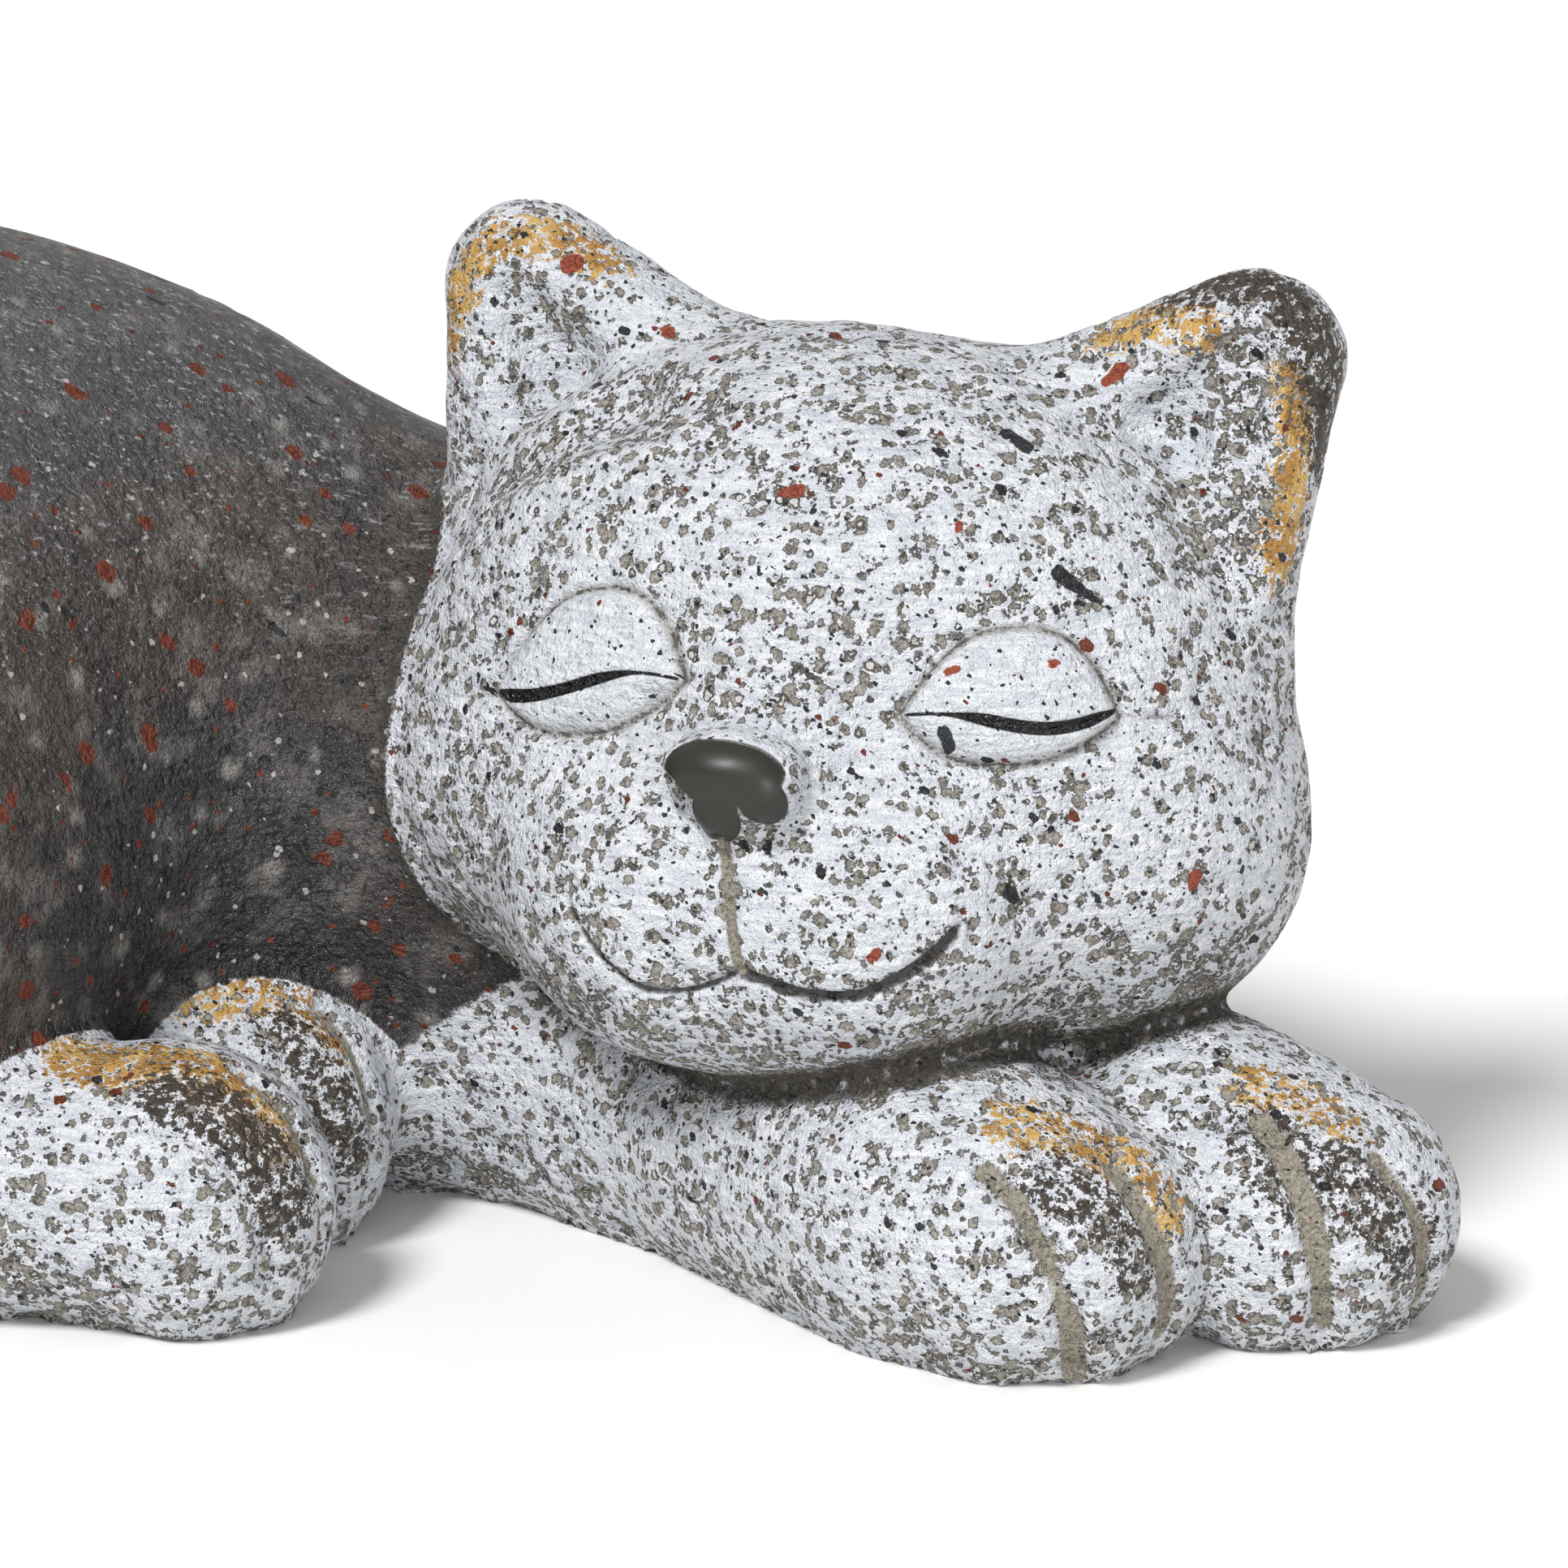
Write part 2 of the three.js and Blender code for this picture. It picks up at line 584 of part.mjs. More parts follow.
// Joins the ends of the edges that matter least, until only the wanted number of triangles is left.
function thinned({ positions, triangles }, wanted, weightAt) {
  const count = positions.length / 3;
  const around = Array.from({ length: count }, () => new Set());
  const errors = Array.from({ length: count }, () => new Float64Array(10));
  const age = new Int32Array(count);
  const faces = [];
  const point = (id) => new THREE.Vector3().fromArray(positions, 3 * id);
  const normalOf = (a, b, c) => b.clone().sub(a).cross(c.clone().sub(a));
  const longestSide = (a, b, c) => Math.max(a.distanceTo(b), b.distanceTo(c), c.distanceTo(a));
  for (let t = 0; t < triangles.length; t += 3) {
    const ids = triangles.slice(t, t + 3);
    const corners = ids.map(point);
    const normal = normalOf(...corners);
    const area = normal.length() / 2;
    normal.normalize();
    const weight = area * weightAt(...corners[0].toArray());
    ids.forEach((id) => {
      around[id].add(faces.length);
      planeError(errors[id], normal, -normal.dot(corners[0]), weight);
    });
    faces.push(ids);
  }
  const neighbours = (id) => {
    const found = new Set();
    around[id].forEach((face) => faces[face].forEach((other) => found.add(other)));
    found.delete(id);
    return found;
  };
  const queue = new CostQueue();
  const offer = (a, b) => {
    const error = errors[a].map((value, n) => value + errors[b][n]);
    const [e, f, g, h, i, j, k, l, m] = error;
    const start = point(a);
    const end = point(b);
    const choices = [start, end, start.clone().lerp(end, 0.5)];
    const system = new THREE.Matrix3(e, f, g, f, i, j, g, j, l);
    if (Math.abs(system.determinant()) > 1e-5 * (e + i + l) ** 3) {
      const best = new THREE.Vector3(-h, -k, -m).applyMatrix3(system.invert());
      if (best.distanceTo(choices[2]) < 1.5 * start.distanceTo(end)) choices.push(best);
    }
    const costs = choices.map((choice) => errorAt(error, choice.x, choice.y, choice.z));
    const pick = costs.indexOf(Math.min(...costs));
    const length = start.distanceTo(end);
    queue.push({
      cost: costs[pick] + 1e-5 * length ** 4, a, b, to: choices[pick], ages: age[a] + age[b],
    });
  };
  for (const ids of faces) {
    for (let k = 0; k < 3; k += 1) {
      if (ids[k] < ids[(k + 1) % 3]) offer(ids[k], ids[(k + 1) % 3]);
    }
  }
  const keepsItsSide = (id, other, to) => {
    for (const face of around[id]) {
      const ids = faces[face];
      if (ids.includes(other)) continue;
      const corners = ids.map(point);
      const before = normalOf(...corners);
      const roundness = before.length() / longestSide(...corners) ** 2;
      corners[ids.indexOf(id)] = to;
      const after = normalOf(...corners);
      const thinnest = Math.min(roundness, LEAST_ROUNDNESS) * longestSide(...corners) ** 2;
      if (after.length() < thinnest || after.dot(before) < KEPT_FACING * after.length() * before.length()) {
        return false;
      }
    }
    return true;
  };
  let left = faces.length;
  while (left > wanted && queue.entries.length > 0) {
    const { a, b, to, ages } = queue.pop();
    const stale = around[a].size === 0 || around[b].size === 0 || ages !== age[a] + age[b];
    if (stale) continue;
    const shared = [...neighbours(a)].filter((id) => neighbours(b).has(id));
    if (shared.length !== 2 || !keepsItsSide(a, b, to) || !keepsItsSide(b, a, to)) continue;
    to.toArray(positions, 3 * a);
    errors[b].forEach((value, n) => { errors[a][n] += value; });
    for (const face of around[b]) {
      const ids = faces[face];
      if (ids.includes(a)) {
        ids.forEach((id) => around[id].delete(face));
        faces[face] = null;
        left -= 1;
      } else {
        ids[ids.indexOf(b)] = a;
        around[a].add(face);
      }
    }
    around[b].clear();
    age[a] += 1;
    age[b] += 1;
    neighbours(a).forEach((id) => offer(Math.min(a, id), Math.max(a, id)));
  }
  return { positions, triangles: faces.filter((ids) => ids !== null).flat() };
}

// Solids for the cut that makes the underside flat
const wasm = await Module();
wasm.setup();

function solidFrom(positions, triangles) {
  const ids = new Map();
  const kept = [];
  const triVerts = triangles.map((id) => {
    if (!ids.has(id)) {
      ids.set(id, kept.length / 3);
      kept.push(...positions.slice(3 * id, 3 * id + 3));
    }
    return ids.get(id);
  });
  return new wasm.Manifold(new wasm.Mesh({
    numProp: 3,
    vertProperties: new Float32Array(kept),
    triVerts: new Uint32Array(triVerts),
  }));
}

function boxSolid(low, high) {
  const size = high.map((value, k) => value - low[k]);
  const box = new THREE.BoxGeometry(...size);
  box.translate(...low.map((value, k) => value + size[k] / 2));
  box.deleteAttribute('normal');
  box.deleteAttribute('uv');
  const { attributes, index } = mergeVertices(box);
  return solidFrom([...attributes.position.array], [...index.array]);
}

function geometryOf(solid) {
  const { vertProperties, triVerts } = solid.getMesh();
  const geometry = new THREE.BufferGeometry();
  geometry.setAttribute('position', new THREE.BufferAttribute(new Float32Array(vertProperties), 3));
  geometry.setIndex(new THREE.BufferAttribute(new Uint32Array(triVerts), 1));
  return geometry;
}

// The sampling box reaches well past the form on each side, and the underside is cut at the ground.
const MARGIN = 12;
const low = [
  BODY_AT[0] - 0.5 * BODY_LENGTH - TAIL_WIDTH - MARGIN,
  NEAR_PAW_AT[1] - PAW_WIDTH - MARGIN,
  -BELOW_GROUND - MARGIN,
];
const high = [
  FAR_PAW_AT[0] + PAW_WIDTH + MARGIN,
  BODY_AT[1] + 0.5 * BODY_WIDTH + TAIL_WIDTH + MARGIN,
  HEAD_CENTRE[2] + 0.5 * HEAD_HEIGHT + EAR_HEIGHT + MARGIN,
];
const carvedLow = [NEAR_HIND_PAW_AT[0], low[1], 0];
const carvedHigh = [high[0], 0, HEAD_CENTRE[2] + 0.3 * HEAD_HEIGHT];
const grid = low.map((value, axis) => gridLines(value, high[axis], carvedLow[axis], carvedHigh[axis]));

// The face holds the finest carving, so it keeps more of the triangles.
function carvingWeight(x, y, z) {
  const onFace = Math.hypot(x + 12, y + 50, z - HEAD_CENTRE[2]) < 0.5 * HEAD_WIDTH;
  return onFace ? FEATURE_WEIGHT : 1;
}

const surface = surfaceOf(cat, grid);
settle(cat, surface.positions, 0.4 * FINE_STEP);
const kept = thinned(surface, TRIANGLES_KEPT, carvingWeight);
const ground = boxSolid([low[0], low[1], 2 * low[2]], [high[0], high[1], 0]);
const casting = geometryOf(solidFrom(kept.positions, kept.triangles).subtract(ground));

// The origin is moved from under the head to under the middle of the whole casting.
casting.computeBoundingBox();
const middle = casting.boundingBox.getCenter(new THREE.Vector3());
casting.translate(-middle.x, -middle.y, 0);
casting.computeVertexNormals();

const castStone = new THREE.MeshStandardMaterial({ color: 0xb9bcbd, roughness: 0.8, metalness: 0 });
const cat_statue = new THREE.Mesh(casting, castStone);
cat_statue.name = 'cat_statue';

const statue = new THREE.Group();
statue.add(cat_statue);
export default statue;
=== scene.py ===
"""A sleeping cat garden statue in painted cast stone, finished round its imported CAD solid.

The casting's form is given in millimetres from the point on the ground under the middle of the head.
X runs to the right of the face, Y away from it and Z up. The row frame's origin is elsewhere, so what
is made or measured from the form is moved by HEAD_IN_FRAME.
"""
import json
import math

import bpy
import numpy as np
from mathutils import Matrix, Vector, noise

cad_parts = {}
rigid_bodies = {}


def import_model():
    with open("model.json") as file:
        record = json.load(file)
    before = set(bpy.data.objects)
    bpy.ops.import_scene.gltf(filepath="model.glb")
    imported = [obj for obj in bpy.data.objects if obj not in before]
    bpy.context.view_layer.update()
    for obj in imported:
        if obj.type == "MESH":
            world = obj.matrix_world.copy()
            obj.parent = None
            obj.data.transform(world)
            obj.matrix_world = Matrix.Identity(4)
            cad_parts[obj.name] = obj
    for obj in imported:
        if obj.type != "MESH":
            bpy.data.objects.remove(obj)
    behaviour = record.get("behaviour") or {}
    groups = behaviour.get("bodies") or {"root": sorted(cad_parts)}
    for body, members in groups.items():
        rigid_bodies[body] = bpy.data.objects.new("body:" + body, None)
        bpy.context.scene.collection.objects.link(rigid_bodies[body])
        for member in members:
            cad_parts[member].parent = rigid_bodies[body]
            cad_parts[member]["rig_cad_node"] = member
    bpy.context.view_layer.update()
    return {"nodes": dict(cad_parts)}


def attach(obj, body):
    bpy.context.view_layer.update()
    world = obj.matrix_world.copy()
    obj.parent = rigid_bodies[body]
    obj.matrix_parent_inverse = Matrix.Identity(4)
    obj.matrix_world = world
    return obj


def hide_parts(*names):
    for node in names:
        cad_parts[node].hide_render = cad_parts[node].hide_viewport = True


MM = 0.001

# Where the point under the head lies in the row frame, in millimetres
HEAD_IN_FRAME = np.array([112.749, -28.129, 0.0])

# Head
HEAD_WIDTH = 176
HEAD_HEIGHT = 134
HEAD_DEPTH = 104
CHIN_HEIGHT = 41
HEAD_TURN = 20
HEAD_TILT = 1.5
FACE_OFF_MIDDLE = 4.5

# Ears
EAR_HEIGHT = 49
EAR_ROUNDING = 17
EAR_THICKNESS = 30
EAR_HOLLOW_DEPTH = 12

# Face
EYELID_BULGE = 3.4
EYE_CREASE_WIDTH = 2.0
EYE_CREASE_DEPTH = 1.5
LID_LINE_WIDTH = 2.4
LID_LINE_DEPTH = 1.1
NOSE_HEIGHT = 18
NOSE_RIM = 0.7
NOSE_OFF_FACE = -2.2
MOUTH_OFF_FACE = 2.4
MOUTH_MIDDLE_AT = -34.7
MOUTH_LINE_WIDTH = 2.2
MOUTH_LINE_DEPTH = 2.0
FURROW_WIDTH = 2.2

# Legs and feet
FORELEG_WIDTH = 62
GROOVE_DEPTH_SHARE = 0.45
GROOVE_FADE = 2
GROOVE_FLAT = 0.8

# Body and tail
BODY_LENGTH = 250
BODY_WIDTH = 200
BACK_HEIGHT = 196
BODY_AT = (-205, 42)
TAIL_WIDTH = 40
TAIL_START = 98
TAIL_END = 236
TAIL_LENGTHS = 14

# The hand-worked surface
DENT_SPACING = 5.2
DENT_RADIUS = 1.7
DENT_SHARE = 0.5
DENT_DEPTH = 0.75
DENT_PICK_SPREAD = 17.3
LUMP_SIZE = 21
LUMP_HEIGHT = 0.6
TROWEL_SIZE = 6.5
TROWEL_HEIGHT = 0.32

# Mesh
BASE_GRID = 3.0
GRADIENT_STEP = 0.2
SETTLE_PASSES = 3
FINE_AWAY = 4.0
FINE_HEAD_DEPTH = 32

# The photograph's camera
CAMERA_AIM = np.array([-9.5, 0.0, 90.5])
CAMERA_ELEVATION = 15
CAMERA_DISTANCE = 1500
MM_PER_PIXEL = 0.153
PHOTO_PIXELS = 1932
SENSOR_WIDTH = 36

# The studio: the strengths of its lights, and the lamp's glint in the glaze. The floor's size is in metres
STUDIO_STRENGTH = 0.46
SUN_STRENGTH = 2.8
SUN_WIDTH = 16
SUN_TURN = (32, -24)
GLINT_AT = np.array([-104.0, 3.0, 92.0])
GLINT_TOWARDS = np.array([0.43, -0.89, 0.13])
LAMP_AWAY = 1500
LAMP_SIZE = 160
LAMP_POWER = 5
FLOOR_SIZE = 14
FLOOR_DROP = 0.1


# Forms: each is a function of an array of points that gives the distance to its surface, negative inside

def length(vectors):
    return np.sqrt((vectors * vectors).sum(axis=-1))


def smoothstep(value, low, high):
    share = np.clip((value - low) / (high - low), 0, 1)
    return share * share * (3 - 2 * share)


def ellipsoid(centre, radii):
    centre, radii = np.array(centre, float), np.array(radii, float)

    def distance(points):
        shares = (points - centre) / radii
        share = length(shares)
        slope = np.maximum(length(shares / radii), 1e-9)
        return np.where(share < 0.05, -radii.min(), share * (share - 1) / slope)
    return distance


def limb(start, end, start_radius, end_radius):
    start, run = np.array(start, float), np.subtract(end, start).astype(float)

    def distance(points):
        along = np.clip((points - start) @ run / (run @ run), 0, 1)
        nearest = start + along[:, None] * run
        return length(points - nearest) - start_radius - (end_radius - start_radius) * along
    return distance


def flap(corners, rounding, thickness):
    squash = np.array([1, 2 * rounding / thickness, 1])
    corners = [np.array(corner) * squash for corner in corners]
    sides = [corners[(k + 1) % 3] - corners[k] for k in range(3)]
    facing = np.cross(sides[0], -sides[2])
    facing /= length(facing)

    def distance(points):
        flat = points * squash
        offsets = [flat - corner for corner in corners]
        within = np.ones(len(points), bool)
        edge = np.full(len(points), np.inf)
        for side, offset in zip(sides, offsets):
            within &= offset @ np.cross(side, facing) <= 0
            share = np.clip(offset @ side / (side @ side), 0, 1)
            edge = np.minimum(edge, length(offset - share[:, None] * side))
        return np.where(within, np.abs(offsets[0] @ facing), edge) - rounding
    return distance


def meet(a, b, blend):
    near = np.maximum(blend - np.abs(a - b), 0) / blend
    return np.minimum(a, b) - near * near * blend / 4


def cut(a, b, blend):
    return -meet(-a, b, blend)


def joined(blend, *forms):
    def distance(points):
        result = forms[0](points)
        for form in forms[1:]:
            result = meet(result, form(points), blend)
        return result
    return distance


def bell(offset, width):
    return np.exp(-((2 * offset / width) ** 2))


def local_points(points, at, turn, tilt=0):
    """The same points seen from a form's own frame, which is tilted, turned and set at its place."""
    c, s = math.cos(math.radians(-turn)), math.sin(math.radians(-turn))
    cos_tilt, sin_tilt = math.cos(math.radians(tilt)), math.sin(math.radians(tilt))
    turned = np.array([[c, -s, 0], [s, c, 0], [0, 0, 1]])
    tilted = np.array([[cos_tilt, 0, sin_tilt], [0, 1, 0], [-sin_tilt, 0, cos_tilt]])
    return (points - np.array(at, float)) @ (turned @ tilted)


def placed(form, at, turn, tilt, reach):
    def distance(points):
        away = length(points - np.array(at, float)) - reach
        near = away <= reach
        away[near] = form(local_points(points[near], at, turn, tilt))
        return away
    return distance


# Head, in shares of its own width, depth and height

def head_point(x, y, z):
    return x * HEAD_WIDTH, y * HEAD_DEPTH, z * HEAD_HEIGHT


skull = joined(
    26,
    ellipsoid(head_point(0, 0.08, 0.09), head_point(0.44, 0.54, 0.42)),
    ellipsoid(head_point(0.23, 0.05, -0.165), head_point(0.284, 0.46, 0.31)),
    ellipsoid(head_point(-0.23, 0.05, -0.165), head_point(0.284, 0.46, 0.285)),
    ellipsoid(head_point(0, -0.34, -0.2), head_point(0.25, 0.28, 0.22)),
    ellipsoid(head_point(0, -0.3, -0.32), head_point(0.2, 0.22, 0.11)),
)
muzzle = joined(
    9,
    ellipsoid(head_point(0.108, -0.45, -0.215), head_point(0.14, 0.2, 0.17)),
    ellipsoid(head_point(-0.108, -0.45, -0.215), head_point(0.14, 0.2, 0.17)),
    limb(head_point(0, -0.3, 0.14), head_point(0, -0.52, -0.02), 0.11 * HEAD_WIDTH, 0.06 * HEAD_WIDTH),
)
NOSE_AT = head_point(0, -0.615, -0.01)

# The nose's wide top, two side lobes and narrow foot: their middles from NOSE_AT, then their half sizes
NOSE_LOBES = (
    ((-0.8, 0, 4.0), (11.6, 9.5, 5.8)),
    ((-9.4, 1, -0.4), (3.0, 8.5, 4.8)),
    ((7.0, 1, -0.4), (4.3, 8.5, 5.0)),
    ((-1.9, 1, -4.0), (4.4, 7.5, 6.2)),
)
nose = joined(5, *[
    ellipsoid(np.add(NOSE_AT, middle), np.add(radii, NOSE_RIM)) for middle, radii in NOSE_LOBES])


def ear(side):
    tip = (side * 0.41 * HEAD_WIDTH, 0.24 * HEAD_DEPTH, 0.13 * HEAD_HEIGHT + EAR_HEIGHT)
    inner = (side * 0.15 * HEAD_WIDTH, 0.2 * HEAD_DEPTH, 0.33 * HEAD_HEIGHT)
    outer = (side * 0.375 * HEAD_WIDTH, 0.13 * HEAD_DEPTH, 0.12 * HEAD_HEIGHT)
    shell = flap((tip, inner, outer), EAR_ROUNDING, EAR_THICKNESS)
    pocket_radius = 0.85 * EAR_ROUNDING
    front = 0.2 * HEAD_DEPTH - EAR_THICKNESS / 2
    pocket = (side * 0.31 * HEAD_WIDTH, front + EAR_HOLLOW_DEPTH - pocket_radius, 0.35 * HEAD_HEIGHT)
    mouth = (0.97 * tip[0], tip[1] - EAR_THICKNESS / 2, tip[2] + 1)
    hollow = limb(mouth, pocket, 0.25 * EAR_ROUNDING, pocket_radius)
    return lambda points: cut(shell(points), hollow(points), 5)


left_ear, right_ear = ear(-1), ear(1)

# Shut eyes: middle, width, height above and below the corners, how much the outer corner rises for each
# millimetre outwards, and how far the painted lid line sags in its middle and lifts at its outer end
EYES = (
    {"side": -1, "middle": 31.9, "at": 8.8, "width": 42, "above": 17.6, "below": 7.8, "slant": -0.242,
     "sag": 0, "lift": 0},
    {"side": 1, "middle": 47.2, "at": 10.4, "width": 36.5, "above": 15.8, "below": 7.9, "slant": -0.01,
     "sag": 1.9, "lift": 1.7},
)


def eye_marks(x, z):
    """For each face point: how far inside the eye's almond it is, and its distances to the two lines."""
    level, crease, lids = np.full(len(x), 9.0), np.full(len(x), 99.0), np.full(len(x), 99.0)
    for eye in EYES:
        here = eye["side"] * x > 0
        outward = eye["side"] * x[here] - eye["middle"]
        across = outward / (eye["width"] / 2)
        up = z[here] - eye["at"] - eye["slant"] * outward
        reach = np.where(up > 0, eye["above"], eye["below"])
        level[here] = np.abs(across) ** 2.5 + np.abs(up) / reach
        slope = np.hypot(5 * np.abs(across) ** 1.5 / eye["width"], 1 / reach)
        past_corner = outward - eye["width"] / 2
        tail = np.hypot(np.maximum(np.abs(past_corner - 4) - 4, 0), up + 0.1 * past_corner)
        crease[here] = np.minimum(np.abs(level[here] - 1) / slope, tail + 0.4)
        # The painted line sways from straight, is thin at the inner corner and ends short of both
        held = np.clip(across, -1, 1)
        sway = 1.3 * np.sin(math.pi * held) + eye["sag"] * (1 - held ** 2) - eye["lift"] * (1 + held) / 2
        thickness = LID_LINE_WIDTH * (0.28 + 0.72 * smoothstep(across, -0.65, -0.1))
        thickness = thickness * (1 - 0.7 * smoothstep(across, 0.7, 1))
        past_end = np.maximum(np.abs(outward) - 0.47 * eye["width"], 0)
        lids[here] = np.hypot(up + sway, past_end) - thickness / 2
    return level, crease, lids


# Each side of the mouth: where it is lowest, how high it rises inwards and outwards, and how far it reaches
MOUTH_SIDES = (
    {"side": -1, "low": 16, "at": -41.4, "inner": 6.7, "outer": 14, "reach": 34},
    {"side": 1, "low": 17, "at": -37.9, "inner": 3.2, "outer": 12, "reach": 38},
)


def mouth_marks(x, z):
    """Distances to the mouth's line and to the furrow that runs up from it to the nose."""
    mouth = np.full(len(x), 99.0)
    for half in MOUTH_SIDES:
        here = half["side"] * (x - MOUTH_OFF_FACE) >= 0
        side = half["side"] * (x[here] - MOUTH_OFF_FACE)
        past = side - half["low"]
        rise = np.where(past < 0, half["inner"], half["outer"])
        run = np.where(past < 0, half["low"], half["reach"] - half["low"])
        above_line = np.abs(z[here] - half["at"] - rise * (past / run) ** 2)
        off_line = above_line / np.hypot(1, 2 * rise * past / run ** 2)
        mouth[here] = np.hypot(off_line, np.maximum(side - half["reach"], 0))
    top = NOSE_AT[2] - 0.5 * NOSE_HEIGHT
    down = (top - z) / (top - MOUTH_MIDDLE_AT)
    line = NOSE_OFF_FACE + (MOUTH_OFF_FACE - NOSE_OFF_FACE) * down
    past_ends = np.maximum(np.maximum(z - top, MOUTH_MIDDLE_AT - z), 0)
    return mouth, np.hypot(x - line, past_ends)


# The scoops that deepen the ears' hollows where they meet the forehead, each a line of points and radii
LEFT_SCOOP = (
    ((-66.6, -16.5, 41.5), 8), ((-56.2, -20.6, 53.5), 13), ((-44.5, -19.5, 64), 17), ((-34, -24, 65.3), 14),
    ((-25, -24, 66.5), 10))
RIGHT_SCOOP = (
    ((75, 8, 70), 8), ((75, 2.5, 48), 8), ((71.4, 1.2, 46), 8), ((77.9, -0.6, 36.1), 7),
    ((83, -1.5, 28), 6))


def scooped(line):
    return joined(2, *[
        limb(start, end, start_radius, end_radius)
        for (start, start_radius), (end, end_radius) in zip(line, line[1:])])


left_scoop, right_scoop = scooped(LEFT_SCOOP), scooped(RIGHT_SCOOP)


def head(points):
    on_face = points - (FACE_OFF_MIDDLE, 0, 0)
    distance = skull(points)
    distance = meet(distance, left_ear(points), 9)
    distance = meet(distance, right_ear(points), 9)
    distance = cut(distance, left_scoop(points), 3)
    distance = cut(distance, right_scoop(points), 2.5)
    distance = meet(distance, muzzle(on_face), 14)
    return meet(distance, nose(on_face), 2)


def face_height(points):
    """How far the eyelids stand out of the head and the face's lines are cut into it."""
    x, y, z = points.T
    front = smoothstep(-y, 0, 0.2 * HEAD_DEPTH)
    level, crease, lids = eye_marks(x, z)
    mouth, furrow = mouth_marks(x - FACE_OFF_MIDDLE, z)
    carving = EYE_CREASE_DEPTH * bell(crease, EYE_CREASE_WIDTH)
    carving = np.maximum(carving, LID_LINE_DEPTH * smoothstep(-lids, -0.5, 0.9))
    carving = np.maximum(carving, MOUTH_LINE_DEPTH * bell(mouth, MOUTH_LINE_WIDTH))
    carving = np.maximum(carving, 0.8 * MOUTH_LINE_DEPTH * bell(furrow, FURROW_WIDTH))
    inside = np.clip(1.1 - level, 0, 1.1)
    return front * (EYELID_BULGE * inside * (2 - inside) - carving)


HEAD_CENTRE = (0, 0, CHIN_HEIGHT + HEAD_HEIGHT / 2)
placed_head = placed(head, HEAD_CENTRE, HEAD_TURN, HEAD_TILT, 0.85 * HEAD_WIDTH)

# Paws, made pointing along +X: a foot with three toes and the two grooves between them, whose points are in
# shares of the paw's width. Paint has almost filled the hind paws' grooves.
TOE_ANGLES = (-45, 0, 45)
PAWS = {
    "near front": {
        "at": (35, -59), "heading": -58, "width": 62, "height": 47, "toe_turn": -7, "groove_width": 4.8,
        "grooves": (
            ((0.24, -0.3, 0.64), (0.34, -0.26, 0.57), (0.44, -0.23, 0.44),
             (0.49, -0.17, 0.23), (0.43, -0.11, 0)),
            ((0.38, 0.06, 0.63), (0.47, 0.09, 0.54), (0.52, 0.13, 0.42),
             (0.51, 0.18, 0.26), (0.46, 0.2, 0)))},
    "far front": {
        "at": (82, -41), "heading": -27, "width": 62, "height": 47, "toe_turn": -32, "groove_width": 4.6,
        "grooves": (
            ((0.08, -0.3, 0.71), (0.2, -0.37, 0.6), (0.3, -0.42, 0.44),
             (0.34, -0.43, 0.25), (0.31, -0.34, 0)),
            ((0.4, -0.18, 0.58), (0.49, -0.13, 0.43), (0.53, -0.1, 0.29),
             (0.52, -0.05, 0.17), (0.48, 0, 0)))},
    "near hind": {
        "at": (-122, -39), "heading": -17, "width": 52, "height": 49, "toe_turn": -20, "groove_width": 3.2,
        "grooves": (
            ((0.1, -0.39, 0.79), (0.22, -0.36, 0.75), (0.32, -0.34, 0.67),
             (0.39, -0.32, 0.55), (0.45, -0.28, 0.26)),
            ((0.25, -0.02, 0.9), (0.38, -0.01, 0.82), (0.47, -0.02, 0.7),
             (0.54, -0.02, 0.55), (0.55, -0.02, 0.3)))},
    "far hind": {
        "at": (-113, 8), "heading": -26, "width": 52, "height": 49, "toe_turn": -12, "groove_width": 3.6,
        "grooves": (
            ((0.22, -0.23, 0.85), (0.33, -0.24, 0.76), (0.42, -0.23, 0.64),
             (0.48, -0.21, 0.48), (0.48, -0.2, 0.2)),
            ((0.32, 0.02, 0.86), (0.43, 0.03, 0.78), (0.51, 0, 0.65),
             (0.54, -0.01, 0.49), (0.5, -0.01, 0.1)))},
}


def groove_distance(points, paw):
    """Distance in the paw's own frame to the nearer groove's middle line."""
    lines = [[tuple(paw["width"] * share for share in spot) for spot in line] for line in paw["grooves"]]
    return np.min([limb(a, b, 0, 0)(points) for line in lines for a, b in zip(line, line[1:])], axis=0)


def placed_paw(paw):
    width, height = paw["width"], paw["height"]
    toes = [
        ellipsoid(
            (0.32 * width * math.cos(angle), 0.31 * width * math.sin(angle), 0.4 * height),
            (0.22 * width, 0.21 * width, 0.43 * height))
        for angle in (math.radians(angle + paw["toe_turn"]) for angle in TOE_ANGLES)]
    foot = ellipsoid((0, 0, 0.47 * height), (0.53 * width, 0.48 * width, 0.53 * height))
    return placed(joined(7, foot, *toes), (*paw["at"], 0), -paw["heading"], 0, width)


def foreleg(elbow, paw, shoulder):
    radius = FORELEG_WIDTH / 2
    x, y = paw["at"]
    wrist = (x - 0.25 * paw["width"], y + 0.13 * paw["width"], 0.5 * paw["height"])
    return joined(
        14,
        limb(shoulder, elbow, 1.1 * radius, 1.02 * radius),
        limb(elbow, wrist, 1.02 * radius, radius),
    )


near_foreleg = joined(
    12,
    limb((-84, 46, 27), (-50, 38, 27), 30, 30),
    foreleg((-30, 26, 24), PAWS["near front"], (-66, 44, 56)),
    placed_paw(PAWS["near front"]),
)
far_foreleg = joined(
    10,
    foreleg((10, 58, 27), PAWS["far front"], (-10, 70, 58)),
    placed_paw(PAWS["far front"]),
)
chest = ellipsoid((8, 20, 42), (30, 26, 23))


